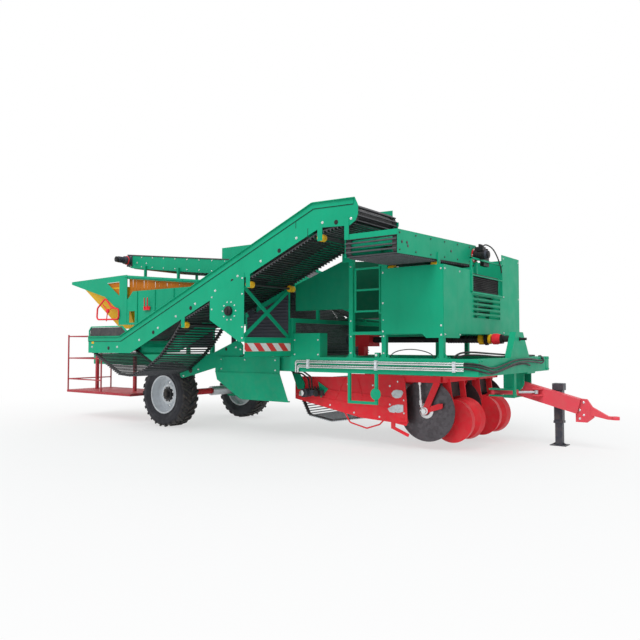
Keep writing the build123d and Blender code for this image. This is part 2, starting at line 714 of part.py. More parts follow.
inner_path = ((table_front - 10, table_low + table_depth - 60),
              (table_knee, table_low + table_depth - 60),
              (table_end + 10, table_end_low + table_depth - 120),
              (table_end + 10, table_end_low + 10), (2200, 2160), (table_knee, table_low - 70),
              (table_front - 60, table_low - 30))
with BuildPart() as inner_conveyor:
    for y in (table_right, table_left - sheet):
        plate_xz(table_outline, y, sheet)
        outside = table_right if y == table_right else table_left
        away = -1 if y == table_right else 1
        if away < 0:
            block((3820, 4780), (outside - 26, outside - 20), (deck_top, table_low + 20))
        for x in (3800, 4800):
            bar((x, outside + away * 20, deck_top), (x, outside + away * 20, table_low + 100), 40, 40)
        x = tower_post_x + post / 2
        bar((x, outside + away * 20, tower_top), (x, outside + away * 20, table_bottom(x) + 60), 40, 40)
        x = beam_rear + 60
        bar((x, outside + away * 30, beam_top), (x, outside + away * 30, box_low), 60, 60, 4)
    for corners, share in ((inner_path[:2], 0.06), (inner_path[1:3], 0.96)):
        x, z = under_run(*corners, share, end_roller, belt_thickness)
        rod((x, table_right + sheet, z), (x, table_left - sheet, z), end_roller)
save(inner_conveyor, "inner_conveyor")

with BuildPart() as inner_web:
    rod_web(Plane.XZ.offset(-(table_right + sheet + web_edge)), inner_path, 50,
            -(table_left - table_right - 2 * sheet - 2 * web_edge), web_pitch, rod_size, 2,
            belt_width, belt_thickness)
save(inner_web, "inner_web")

# ---- transfer conveyor that climbs behind the side elevator's frame -----------------------

climb_foot = (2390, 1235)    # middle of the lower roller
climb_head = (1530, 2210)    # middle of the upper roller
climb_roller = 55
climb_right = -60
climb_left = 2210
climb_run = Vector(climb_head[0] - climb_foot[0], climb_head[1] - climb_foot[1])
climb_out = Vector(-climb_run.Y, climb_run.X).normalized() * (climb_roller + belt_thickness + play)
climb_way = climb_run.normalized() * (climb_roller + belt_thickness + play)
climb_path = [(climb_foot[0] - climb_way.X + side * climb_out.X,
               climb_foot[1] - climb_way.Y + side * climb_out.Y) for side in (-1, 1)]
climb_path += [(climb_head[0] + climb_way.X + side * climb_out.X,
                climb_head[1] + climb_way.Y + side * climb_out.Y) for side in (1, -1)]
with BuildPart() as transfer_conveyor:
    for y in (climb_right - 20, climb_left + 20):
        bar((*climb_foot[:1], y, climb_foot[1]), (*climb_head[:1], y, climb_head[1]), 40, 90)
        block((climb_foot[0] - 45, climb_foot[0] + 30), (y - 20, y + 20), (beam_top, climb_foot[1]))
        block((climb_head[0] - 30, climb_head[0] + 30), (y - 20, y + 20), (beam_top, climb_head[1]))
    for x, z in (climb_foot, climb_head):
        rod((x, climb_right, z), (x, climb_left, z), climb_roller)
save(transfer_conveyor, "transfer_conveyor")

with BuildPart() as transfer_web:
    rod_web(Plane.XZ.offset(-(climb_right + web_edge)), climb_path, climb_roller,
            -(climb_left - climb_right - 2 * web_edge), web_pitch, rod_size, 3, belt_width,
            belt_thickness)
save(transfer_web, "transfer_web")

# ---- rear hopper ---------------------------------------------------------------------------

hopper_right = 0             # outer face of the right wall
hopper_left = 1756
hopper_rear = -1240
hopper_front = 700
hopper_low = 1690
hopper_rear_high = 2570
hopper_front_high = 2370
hopper_leg = 60
wing_tip_z = 2530


def hopper_rail_z(x):
    """The height of the hopper wall's upper edge at x."""
    share = (x - hopper_rear) / (hopper_front - hopper_rear)
    return hopper_rear_high + share * (hopper_front_high - hopper_rear_high)


with BuildPart() as hopper:
    for y in (hopper_right, hopper_left - sheet):
        plate_xz(((hopper_rear, hopper_low), (hopper_front, hopper_low), (hopper_front, hopper_front_high),
                  (hopper_rear, hopper_rear_high)), y, sheet)
        plate_xz(((-1180, 2150), (-1150, 2150), (-1020, 2275), (560, 2275), (560, 2330),
                  (-1180, 2505)), y, sheet, mode=Mode.SUBTRACT)
    block((hopper_rear, hopper_front), (hopper_right + sheet, hopper_left - sheet),
          (hopper_low, hopper_low + sheet))
    block((-1120, -960), (hopper_right, hopper_right + sheet), (1725, 1925), mode=Mode.SUBTRACT)
    block((hopper_front - sheet, hopper_front), (hopper_right + sheet, hopper_left - sheet),
          (hopper_low, hopper_front_high))
    for x in (-1230, -325):
        z = hopper_rail_z(x) - 40
        bar((x, hopper_right + sheet, z), (x, hopper_left - sheet, z), 40, 40)
        for y in (table_right - 20, table_left + 20):
            bar((x, y, z + 20), (x, y, hopper_rail_z(x)), 40, 40)
    for y in tail_beam_ys:
        for x in (-1180, 620):
            bar((x, y + tail_beam_width / 2, beam_top), (x, y + tail_beam_width / 2, hopper_low),
                hopper_leg, hopper_leg, 4)
save(hopper, "hopper")

with BuildPart() as hopper_wings:
    wing = ((-tail_reach, wing_tip_z - 35), (-tail_reach, wing_tip_z + 15),
            (hopper_rear - 60, hopper_rear_high + 5), (hopper_rear + 60, hopper_rear_high + 5),
            (hopper_rear + 60, hopper_low), (hopper_rear - 170, hopper_low), (hopper_rear - 190, 1960),
            (-1830, 2210))
    for y in (hopper_right - sheet, hopper_left):
        plate_xz(wing, y, sheet)
        plate_xz(((-1770, 2460), (-1400, 2465), (-1400, 2210)), y, sheet, mode=Mode.SUBTRACT)
save(hopper_wings, "hopper_wings")

funnel_top = 2370
funnel_bottom = 1640
with BuildPart() as funnel:
    for inset, mode in ((0, Mode.ADD), (sheet, Mode.SUBTRACT)):
        with BuildSketch(Plane.XY.offset(funnel_top)) as mouth:
            with Locations(((-2450 + hopper_rear) / 2, (hopper_right + hopper_left) / 2)):
                Rectangle(hopper_rear + 2450 - 2 * inset,
                          hopper_left - hopper_right - 2 * play - 2 * inset)
        with BuildSketch(Plane.XY.offset(funnel_bottom)) as spout:
            with Locations(((-1850 - 1430) / 2, (hopper_right + hopper_left) / 2)):
                Rectangle(420 - 2 * inset, 1050 - 2 * inset)
        loft(sections=[spout.sketch, mouth.sketch], mode=mode)
save(funnel, "funnel")

ring_tube = 15
ring_y = hopper_right - sheet - ring_tube - play
with BuildPart() as funnel_ring:
    ring = ((-2050, 1800), (-2030, 2010), (-1790, 2180), (-1600, 2010), (-1390, 1970), (-1390, 1790))
    pipe([(x, ring_y, z) for x, z in ring], ring_tube, 60, close=True)
save(funnel_ring, "funnel_ring")

# ---- upper rear conveyor -----------------------------------------------------------------

upper_front = 940
upper_rear = -1790
upper_front_low = 2478
upper_rear_low = 2784
upper_depth = 255


def upper_low(x):
    """The height of the upper conveyor wall's lower edge at x."""
    share = (upper_front - x) / (upper_front - upper_rear)
    return upper_front_low + share * (upper_rear_low - upper_front_low)


upper_path = ((upper_front - 12, upper_front_low + 205), (upper_rear + 20, upper_rear_low + 205),
              (upper_rear + 20, upper_rear_low + 70), (upper_rear + 180, upper_low(upper_rear + 180) + 12),
              (upper_front - 60, upper_front_low + 12), (upper_front - 12, upper_front_low + 70))
with BuildPart() as upper_conveyor:
    for y in (table_right, table_left - sheet):
        plate_xz(((upper_front, upper_front_low), (upper_rear + 140, upper_low(upper_rear + 140)),
                  (upper_rear, upper_rear_low + 30), (upper_rear, upper_rear_low + upper_depth),
                  (upper_front, upper_front_low + upper_depth)), y, sheet)
    for y in (table_right - sheet, table_left):
        block((735, 1448), (y, y + sheet), (box_low, box_high))
    for x in (-1230, -325):
        for y in (table_right - 40, table_left):
            block((x - 20, x + 20), (y, y + 40), (hopper_rail_z(x), upper_low(x) + 60))
    for x in (-1500, -600, 300):
        z = upper_low(x) + 90
        bar((x, table_right + sheet, z), (x, table_left - sheet, z), 40, 40, 3)
    for share in (0.03, 0.97):
        x, z = under_run(upper_path[0], upper_path[1], share, end_roller, belt_thickness)
        rod((x, table_right + sheet, z), (x, table_left - sheet, z), end_roller)
save(upper_conveyor, "upper_conveyor")

with BuildPart() as upper_web:
    rod_web(Plane.XZ.offset(-(table_right + sheet + web_edge)), upper_path, 40,
            -(table_left - table_right - 2 * sheet - 2 * web_edge), web_pitch, rod_size, 2,
            belt_width, belt_thickness)
save(upper_web, "upper_web")

with BuildPart() as conveyor_motors:
    rod((2740, drive_y, drive_z), (2940, drive_y, drive_z), 85)
    block((cross_front, cross_front + 50), (840, 930), (2440, 2560))
    rod((cross_front + 50, 885, 2500), (cross_front + 190, 885, 2500), 55)
    rod((upper_rear + 80, table_right - 90, upper_rear_low + 130),
        (upper_rear + 80, table_right, upper_rear_low + 130), 70)
    rod((upper_rear + 80, table_right - 290, upper_rear_low + 130),
        (upper_rear + 80, table_right - 90, upper_rear_low + 130), 45)
save(conveyor_motors, "conveyor_motors")

# ---- rear platform -----------------------------------------------------------------------

stand_rear = -2700
stand_front = -790
stand_right = -200
stand_left = 760
stand_floor = 500
rail_top = 1520
rail = 14
with BuildPart() as rear_platform:
    block((stand_rear, stand_front), (stand_right, stand_left), (stand_floor - 4, stand_floor))
    for y in (stand_right + 20, stand_left - 20):
        bar((stand_rear, y, stand_floor - 24), (stand_front, y, stand_floor - 24), 40, 40)
    for x in (stand_rear + 20, -1700, stand_front - 20):
        bar((x, stand_right + 40, stand_floor - 24), (x, stand_left - 40, stand_floor - 24), 40, 40)
    for x, y in ((stand_rear + rail, stand_right + rail), (-1650, stand_right + rail),
                 (stand_rear + rail, stand_left - rail)):
        rod((x, y, stand_floor), (x, y, rail_top), rail)
    for z in (rail_top - 2 * rail, 1086, 700):
        rod((stand_rear + rail, stand_right + rail, z), (-1650, stand_right + rail, z), rail - 3)
        rod((stand_rear + rail, stand_right + rail, z), (stand_rear + rail, stand_left - rail, z),
            rail - 3)
    for x in (-2450, -1300):
        bar((x, tail_beam_ys[0] - 25, stand_floor), (x, tail_beam_ys[0] - 25, beam_bottom + 150), 50, 50)
save(rear_platform, "rear_platform")

# ---- digging unit ----------------------------------------------------------------------------

dig_middle = (dig_right + dig_left) / 2
row_pitch = 900
dig_beam = 80
dig_beam_low = 860
dig_beam_front = 4780
roller_x = 4800
roller_radius = 275
roller_width = 420
roller_waist = 190
roller_flare = 90            # half length of the waist between the flared ends
roller_z = 375
coulter_x = 4530
coulter_z = 500
coulter_radius = 390
shaft_radius = 25
skid_radius = 10
arm = 20
roller_arm_depth = 76

dig_path = ((4060, 560), (2600, 840), (2500, 700), (2700, 340), (3100, 280), (4060, 430))
roller_ys = (dig_middle - row_pitch / 2, dig_middle + row_pitch / 2)
coulter_ys = (dig_right + 112, dig_middle, dig_left - 112)
with BuildPart() as dig_frame:
    for y in (dig_right, dig_left - dig_wall):
        plate_xz(((2480, 560), (3330, 410), (3600, 360), (4120, 330), (4120, 910), (2480, 880)), y,
                 dig_wall)
    middle = dig_beam_low + dig_beam / 2
    for y in (dig_right, dig_left - dig_beam):
        bar((3400, y + dig_beam / 2, middle), (dig_beam_front, y + dig_beam / 2, middle),
            dig_beam, dig_beam, 6)
    bar((dig_beam_front - dig_beam / 2, dig_right + dig_beam, middle),
        (dig_beam_front - dig_beam / 2, dig_left - dig_beam, middle), dig_beam, dig_beam, 6)
    for y in roller_ys:
        for side in (-1, 1):
            arm_y = y + side * (roller_width / 2 + 8 + arm / 2)
            bar((dig_beam_front - dig_beam / 2, arm_y, dig_beam_low), (roller_x, arm_y, roller_z), arm,
                roller_arm_depth)
            rod((roller_x, arm_y - arm / 2, roller_z), (roller_x, arm_y + arm / 2, roller_z), 55)
    for y, inward in zip(coulter_ys, (-1, -1, 1)):
        arm_y = y + inward * 40
        bar((dig_beam_front - dig_beam, arm_y, dig_beam_low + 4), (coulter_x, arm_y, coulter_z), arm, 80)
        rod((coulter_x, arm_y - arm / 2, coulter_z), (coulter_x, arm_y + arm / 2, coulter_z), 50)
    for y in roller_ys:
        for side in (-1, 1):
            arm_y = y + side * (roller_width / 2 + 8 + arm / 2)
            rod((roller_x, arm_y - arm, roller_z), (roller_x, arm_y + arm, roller_z),
                shaft_radius + pin_play, mode=Mode.SUBTRACT)
    for y, inward in zip(coulter_ys, (-1, -1, 1)):
        arm_y = y + inward * 40
        rod((coulter_x, arm_y - arm, coulter_z), (coulter_x, arm_y + arm, coulter_z),
            shaft_radius + pin_play, mode=Mode.SUBTRACT)
    for y in (dig_right, dig_left - dig_wall):
        rod((dig_hinge[0], y, dig_hinge[1]), (dig_hinge[0], y + dig_wall, dig_hinge[1]),
            hinge_radius + pin_play, mode=Mode.SUBTRACT)
    for share in (0.05, 0.94):
        x, z = under_run(dig_path[0], dig_path[1], share, end_roller, belt_thickness)
        rod((x, dig_right + dig_wall, z), (x, dig_left - dig_wall, z), end_roller)
    for y in (dig_right, dig_left - dig_wall):
        pipe([(x, y + dig_wall / 2, z) for x, z in
              ((3330, 440), (3430, 285), (3700, 225), (3900, 290), (3990, 380))], skid_radius, 50)
        bar((4105, y + dig_wall / 2, 880), (4105, y + dig_wall / 2, 250), dig_wall, 60)
        bar((4105, y + dig_wall / 2, 265), (4330, y + dig_wall / 2, 180), dig_wall, 40)
save(dig_frame, "dig_frame")

curtain_gap = 13             # between a curtain and a coulter
with BuildPart() as front_curtain:
    for start, end in ((coulter_ys[0] + curtain_gap, coulter_ys[1] - 60),
                       (coulter_ys[1] + curtain_gap, coulter_ys[2] - curtain_gap)):
        block((dig_beam_front - dig_beam - 6, dig_beam_front - dig_beam), (start, end), (660, 935))
save(front_curtain, "front_curtain")

with BuildPart() as web_motor:
    rod((2745, dig_right - 150, 660), (2745, dig_right, 660), 62)
    rod((2745, dig_right - 190, 660), (2745, dig_right - 150, 660), 40)
    block((2745, 3010), (dig_right - 90, dig_right), (625, 700))
save(web_motor, "web_motor")

with BuildPart() as dig_web:
    rod_web(Plane.XZ.offset(-(dig_right + dig_wall + 8)), dig_path, 60,
            -(dig_left - dig_right - 2 * dig_wall - 16), web_pitch, rod_size, 3, belt_width,
            belt_thickness)
save(dig_web, "dig_web")

with BuildPart() as dig_share:
    for y in roller_ys:
        plate_xz(((4560, 150), (4540, 146), (4120, 330), (4130, 342), (4560, 156)), y - 300, 600)
    bar((4100, dig_right + dig_wall, 350), (4100, dig_left - dig_wall, 350), 50, 50, 5)
save(dig_share, "dig_share")

for label, y, inward in zip(("right", "middle", "left"), coulter_ys, (-1, -1, 1)):
    with BuildPart() as coulter:
        rod((coulter_x, y - 3, coulter_z), (coulter_x, y + 3, coulter_z), coulter_radius)
        near, far = sorted((y, y + inward * 26))
        rod((coulter_x, near, coulter_z), (coulter_x, far, coulter_z), 60)
        near, far = sorted((y, y + inward * (40 + arm / 2)))
        rod((coulter_x, near, coulter_z), (coulter_x, far, coulter_z), shaft_radius)
    save(coulter, f"{label}_coulter")

for label, y in zip(("right", "left"), roller_ys):
    with BuildPart() as ridge_roller:
        half = roller_width / 2
        with BuildSketch(Plane.YZ.offset(roller_x)) as roller_section:
            with BuildLine():
                Polyline((y - half, roller_z), (y - half, roller_z + roller_radius),
                         (y - roller_flare, roller_z + roller_radius - 15),
                         (y - 30, roller_z + roller_waist), (y + 30, roller_z + roller_waist),
                         (y + roller_flare, roller_z + roller_radius - 15),
                         (y + half, roller_z + roller_radius), (y + half, roller_z), close=True)
            make_face()
        revolve(roller_section.sketch, axis=Axis((roller_x, y, roller_z), (0, 1, 0)))
        reach = half + 8 + arm
        rod((roller_x, y - reach, roller_z), (roller_x, y + reach, roller_z), shaft_radius)
    save(ridge_roller, f"{label}_ridge_roller")

# ---- drawbar, its steering cylinder and the jack ---------------------------------------------

swing = (5200, 1600)         # the drawbar's upright pin
bracket_rear = 5110
bracket_top = 950
swing_radius = 30
bush_radius = 52
lug_low = (620, 640)
lug_high = (915, 935)
tongue_z = 420
tongue_thickness = 40
eye_x = hitch_reach - 50
eye_radius = 16.5
cylinder_foot = (swing[0] - 100, swing[1] - 500)
cylinder_eye = (swing[0] + 350, swing[1] - 150)
cylinder_z = 715

with BuildPart() as drawbar_bracket:
    block((bracket_rear, beam_front), (swing[1] - 150, swing[1] + 150), (bracket_top, beam_bottom))
    for y in (swing[1] - 150, swing[1] + 130):
        plate_xz(((bracket_rear, lug_low[0]), (swing[0] + 60, lug_low[0]), (beam_front - 50, 800),
                  (beam_front - 50, bracket_top), (bracket_rear, bracket_top)), y, 20)
    for (low, high), reach in ((lug_low, 45), (lug_high, 70)):
        block((bracket_rear, swing[0] + reach), (swing[1] - 130, swing[1] + 130), (low, high))
    rod((*swing, lug_low[0]), (*swing, lug_high[1]), swing_radius)
    for z in (cylinder_z - 52, cylinder_z + 32):
        block((cylinder_foot[0] - 40, cylinder_foot[0] + 300),
              (cylinder_foot[1] - 40, cylinder_foot[1] + 40), (z, z + 20))
    block((cylinder_foot[0] + 280, cylinder_foot[0] + 300),
          (cylinder_foot[1] - 40, cylinder_foot[1] + 40), (cylinder_z - 52, beam_bottom))
    rod((*cylinder_foot, cylinder_z - 52), (*cylinder_foot, cylinder_z + 52), 15)
save(drawbar_bracket, "drawbar_bracket")

with BuildPart() as drawbar:
    rod((*swing, lug_low[1] + play), (*swing, lug_high[0] - play), bush_radius)
    bar((swing[0] + 30, swing[1], 765), (6060, swing[1], 545), 140, 190, 10)
    plate_xz(((6010, 345), (6150, 345), (6230, 410), (6230, 520), (6150, 640), (6010, 650)),
             swing[1] - 20, 40)
    rod((*swing, lug_low[0]), (*swing, lug_high[1]), swing_radius + pin_play, mode=Mode.SUBTRACT)
    plate_xz(((6200, 550), (6200, 440), (6400, tongue_z - tongue_thickness / 2),
              (eye_x, tongue_z - tongue_thickness / 2), (eye_x, tongue_z + tongue_thickness / 2),
              (6400, tongue_z + tongue_thickness / 2)), swing[1] - 30, 60)
    rod((eye_x, swing[1], tongue_z - tongue_thickness / 2),
        (eye_x, swing[1], tongue_z + tongue_thickness / 2), 50)
    rod((eye_x, swing[1], tongue_z - tongue_thickness / 2),
        (eye_x, swing[1], tongue_z + tongue_thickness / 2), eye_radius, mode=Mode.SUBTRACT)
    for z in (cylinder_z - 52, cylinder_z + 32):
        plate_xy(((cylinder_eye[0] - 40, cylinder_eye[1] - 30), (cylinder_eye[0] + 40, cylinder_eye[1] - 30),
                  (cylinder_eye[0] + 70, swing[1] - 70), (cylinder_eye[0] - 70, swing[1] - 70)), z, 20)
save(drawbar, "drawbar")

# the rod side of the cylinder swings with the barrel and slides in it
foot, eye = Vector(*cylinder_foot, cylinder_z), Vector(*cylinder_eye, cylinder_z)
stroke_line = (eye - foot).normalized()
barrel_length = 330
barrel_radius = 32
ram_radius = 16
with BuildPart() as steering_barrel:
    rod((*cylinder_foot, cylinder_z - 30), (*cylinder_foot, cylinder_z + 30), 30)
    rod(tuple(foot), tuple(foot + stroke_line * barrel_length), barrel_radius)
    rod((*cylinder_foot, cylinder_z - 60), (*cylinder_foot, cylinder_z + 60), 15 + pin_play,
        mode=Mode.SUBTRACT)
    rod(tuple(foot + stroke_line * 80), tuple(foot + stroke_line * barrel_length),
        ram_radius + pin_play, mode=Mode.SUBTRACT)
save(steering_barrel, "steering_barrel")

with BuildPart() as steering_ram:
    rod(tuple(foot + stroke_line * (barrel_length - 60)), tuple(eye), ram_radius)
    rod((*cylinder_eye, cylinder_z - 22), (*cylinder_eye, cylinder_z + 22), 28)
    rod((*cylinder_eye, cylinder_z - 30), (*cylinder_eye, cylinder_z + 30), 18, mode=Mode.SUBTRACT)
save(steering_ram, "steering_ram")

jack_spot = (5750, 1770)
jack_radius = 42
jack_leg_radius = 35
jack_tube_low = 330
jack_tube_high = 930
foot_plate = 200
with BuildPart() as jack_tube:
    rod((*jack_spot, jack_tube_low), (*jack_spot, jack_tube_high), jack_radius,
        jack_leg_radius + pin_play)
    rod((*jack_spot, jack_tube_high), (*jack_spot, jack_tube_high + 8), jack_radius)
    block((jack_spot[0] - 60, jack_spot[0] + 60), (swing[1] + 70, jack_spot[1] - jack_radius + 8),
          (600, 720))
    rod((*jack_spot, 600), (*jack_spot, 720), jack_leg_radius + pin_play, mode=Mode.SUBTRACT)
save(jack_tube, "jack_tube")

with BuildPart() as jack_leg:
    rod((*jack_spot, 0), (*jack_spot, jack_tube_low + 330), jack_leg_radius)
    block((jack_spot[0] - foot_plate / 2, jack_spot[0] + foot_plate / 2),
          (jack_spot[1] - foot_plate / 2, jack_spot[1] + foot_plate / 2), (0, 12))
save(jack_leg, "jack_leg")
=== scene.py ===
"""Looks of the towed potato harvester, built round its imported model."""
import json
from math import atan2, cos, pi, radians, sin, tan

import bpy
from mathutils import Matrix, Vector


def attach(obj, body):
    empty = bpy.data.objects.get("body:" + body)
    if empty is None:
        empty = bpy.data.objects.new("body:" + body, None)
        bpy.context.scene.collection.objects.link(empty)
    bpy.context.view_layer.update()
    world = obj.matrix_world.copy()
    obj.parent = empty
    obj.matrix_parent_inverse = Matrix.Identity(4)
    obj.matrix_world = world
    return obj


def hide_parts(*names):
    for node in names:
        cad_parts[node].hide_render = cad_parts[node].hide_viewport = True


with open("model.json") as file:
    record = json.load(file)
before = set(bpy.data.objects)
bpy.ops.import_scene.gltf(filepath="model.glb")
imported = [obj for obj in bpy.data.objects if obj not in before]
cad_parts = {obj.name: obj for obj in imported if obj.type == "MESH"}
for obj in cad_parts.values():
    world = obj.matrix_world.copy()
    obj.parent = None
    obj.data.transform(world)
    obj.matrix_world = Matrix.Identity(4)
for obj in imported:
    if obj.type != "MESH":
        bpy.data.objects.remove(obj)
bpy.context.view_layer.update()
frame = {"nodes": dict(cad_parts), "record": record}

# The drawing has its origin on the ground under the right wheel, in millimetres.
MIDDLE = Vector((1815, 589, 0))
AHEAD, RIGHT, UP = (1, 0, 0), (0, -1, 0), (0, 0, 1)
AXLE_HEIGHT = 525


def at(x, y, z):
    """A drawing point, in millimetres, in the frame's metres."""
    return (Vector((x, y, z)) - MIDDLE) / 1000


# ---- materials ----


def new_node(tree, kind, **values):
    """A new shader node with the given values in its inputs."""
    node = tree.nodes.new("ShaderNode" + kind)
    for name, value in values.items():
        node.inputs[name].default_value = value
    return node


class Nodes:
    """A material's node tree with short ways to add and join its nodes."""

    def __init__(self, name):
        self.material = bpy.data.materials.new(name)
        self.material.use_nodes = True
        self.tree = self.material.node_tree
        self.shader = self.tree.nodes["Principled BSDF"]
        self.place = new_node(self.tree, "TexCoord").outputs["Object"]

    def link(self, source, target):
        self.tree.links.new(source, target)

    def put(self, socket, value):
        if hasattr(value, "node"):
            self.link(value, socket)
        else:
            socket.default_value = value

    def math(self, operation, a, b=0.0):
        node = new_node(self.tree, "Math")
        node.operation = operation
        self.put(node.inputs[0], a)
        self.put(node.inputs[1], b)
        return node.outputs[0]

    def noise(self, scale, detail=3.0, stretch=(1, 1, 1)):
        mapping = new_node(self.tree, "Mapping", Scale=stretch)
        self.link(self.place, mapping.inputs["Vector"])
        node = new_node(self.tree, "TexNoise", Scale=scale, Detail=detail)
        self.link(mapping.outputs[0], node.inputs["Vector"])
        return node.outputs["Fac"]

    def cells(self, scale):
        node = new_node(self.tree, "TexVoronoi", Scale=scale)
        self.link(self.place, node.inputs["Vector"])
        return node.outputs["Color"]

    def ramp(self, value, low, high, out_low=0.0, out_high=1.0):
        ends = {"From Min": low, "From Max": high, "To Min": out_low, "To Max": out_high}
        node = new_node(self.tree, "MapRange", **ends)
        self.link(value, node.inputs["Value"])
        return node.outputs[0]

    def mix(self, share, first, second):
        node = new_node(self.tree, "Mix")
        node.data_type = "RGBA"
        self.put(node.inputs[0], share)
        for socket, value in ((node.inputs[6], first), (node.inputs[7], second)):
            self.put(socket, value if hasattr(value, "node") else (*value, 1))
        return node.outputs[2]

    def axis(self, name):
        node = new_node(self.tree, "SeparateXYZ")
        self.link(self.place, node.inputs[0])
        return node.outputs[name]

    def bump(self, height, distance, strength=1.0):
        node = new_node(self.tree, "Bump", Strength=strength, Distance=distance)
        self.link(height, node.inputs["Height"])
        self.link(node.outputs[0], self.shader.inputs["Normal"])

    def finish(self, colour, rough, metal=0.0, coat=0.0, specular=0.5):
        for name, value in (("Base Color", colour), ("Roughness", rough), ("Metallic", metal),
                            ("Coat Weight", coat), ("Coat Roughness", 0.2),
                            ("Specular IOR Level", specular)):
            self.put(self.shader.inputs[name], value)
        return self.material


DUST = (0.30, 0.25, 0.19)


def shade(colour, factor):
    return tuple(part * factor for part in colour)


def painted(name, colour, rough=0.46, dust=0.10, coat=0.04, uneven=0.88):
    """Sprayed machine paint: slow changes of tone, faint orange peel, dust low down."""
    nodes = Nodes(name)
    slow = nodes.ramp(nodes.noise(1.7, 4), 0.3, 0.7)
    base = nodes.mix(slow, shade(colour, uneven), colour)
    streaks = nodes.ramp(nodes.noise(9, 5, (1, 1, 0.18)), 0.52, 0.8, 0, 0.22)
    base = nodes.mix(streaks, base, shade(colour, 0.6))
    low = nodes.ramp(nodes.axis("Z"), 0.25, 1.5, 1, 0.12)
    specks = nodes.ramp(nodes.noise(13, 6), 0.42, 0.72, 0, dust)
    base = nodes.mix(nodes.math("MULTIPLY", low, specks), base, DUST)
    nodes.bump(nodes.noise(260, 2), 0.0004, 0.35)
    return nodes.finish(base, nodes.ramp(nodes.noise(5, 4), 0.3, 0.7, rough - 0.07, rough + 0.1),
                        coat=coat, specular=0.14)


def metal(name, colour, rough=0.38, spangle=46, amount=0.35):
    """Bare or galvanised steel with its crystals and fine brushing."""
    nodes = Nodes(name)
    grain = new_node(nodes.tree, "RGBToBW")
    nodes.link(nodes.cells(spangle), grain.inputs[0])
    base = nodes.mix(nodes.ramp(grain.outputs[0], 0.2, 0.8, 0, amount), colour, shade(colour, 0.62))
    stains = nodes.ramp(nodes.noise(7, 5), 0.5, 0.75, 0, 0.35)
    base = nodes.mix(stains, base, shade(colour, 0.45))
    nodes.bump(nodes.noise(140, 3, (1, 1, 6)), 0.0005, 0.3)
    return nodes.finish(base, nodes.ramp(grain.outputs[0], 0.2, 0.8, rough - 0.06, rough + 0.12),
                        metal=0.85)


def rubber(name, colour, rough=0.62, dust=0.3, scale=60):
    """Black rubber with a fine skin and dust in it."""
    nodes = Nodes(name)
    base = nodes.mix(nodes.ramp(nodes.noise(4, 4), 0.3, 0.7), shade(colour, 0.65), colour)
    specks = nodes.ramp(nodes.noise(19, 6), 0.45, 0.78, 0, dust)
    base = nodes.mix(specks, base, shade(DUST, 0.55))
    nodes.bump(nodes.noise(scale * 5, 2), 0.0008, 0.4)
    return nodes.finish(base, nodes.ramp(nodes.noise(11, 3), 0.3, 0.7, rough - 0.1, rough + 0.12),
                        specular=0.4)


def from_axle(nodes):
    """The distance from the wheels' axle, in metres."""
    across = nodes.math("SUBTRACT", nodes.axis("X"), at(0, 0, 0).x)
    up = nodes.math("SUBTRACT", nodes.axis("Z"), AXLE_HEIGHT / 1000)
    both = nodes.math("ADD", nodes.math("MULTIPLY", across, across), nodes.math("MULTIPLY", up, up))
    return nodes.math("SQRT", both)


def tyre_rubber():
    """Tyre rubber: moulded rings on the side wall, dusty lugs."""
    nodes = Nodes("tyre_rubber")
    radius = from_axle(nodes)
    colour = (0.042, 0.043, 0.052)
    base = nodes.mix(nodes.ramp(nodes.noise(5, 4), 0.3, 0.7), shade(colour, 0.6), colour)
    tread = nodes.ramp(radius, 0.47, 0.525, 0, 0.55)
    dusty = nodes.math("MULTIPLY", tread, nodes.ramp(nodes.noise(17, 6), 0.35, 0.7))
    base = nodes.mix(dusty, base, shade(DUST, 0.62))
    ring_pitch = 0.021
    rings = nodes.math("SINE", nodes.math("MULTIPLY", radius, 2 * pi / ring_pitch))
    inside = nodes.ramp(radius, 0.425, 0.435, 1, 0)
    height = nodes.math("MULTIPLY", rings, inside)
    grain = nodes.math("MULTIPLY", nodes.noise(210, 2), 0.4)
    nodes.bump(nodes.math("ADD", height, grain), 0.0022, 0.6)
    return nodes.finish(base, nodes.ramp(nodes.noise(9, 3), 0.3, 0.7, 0.55, 0.8), specular=0.35)


def wheel_paint():
    """White wheel paint with a dark hub and grime round its edge."""
    nodes = Nodes("wheel_paint")
    radius = from_axle(nodes)
    colour = (0.80, 0.84, 0.88)
    base = nodes.mix(nodes.ramp(nodes.noise(4, 4), 0.3, 0.7), shade(colour, 0.85), colour)
    grime = nodes.math("MULTIPLY", nodes.ramp(radius, 0.13, 0.3, 0.05, 0.22),
                       nodes.ramp(nodes.noise(16, 6), 0.42, 0.75))
    base = nodes.mix(grime, base, shade(DUST, 0.8))
    hub = nodes.ramp(radius, 0.127, 0.13, 1, 0)
    base = nodes.mix(hub, base, (0.025, 0.026, 0.03))
    nodes.bump(nodes.noise(220, 2), 0.0004, 0.3)
    return nodes.finish(base, nodes.ramp(nodes.noise(8, 3), 0.3, 0.7, 0.34, 0.55), coat=0.15)


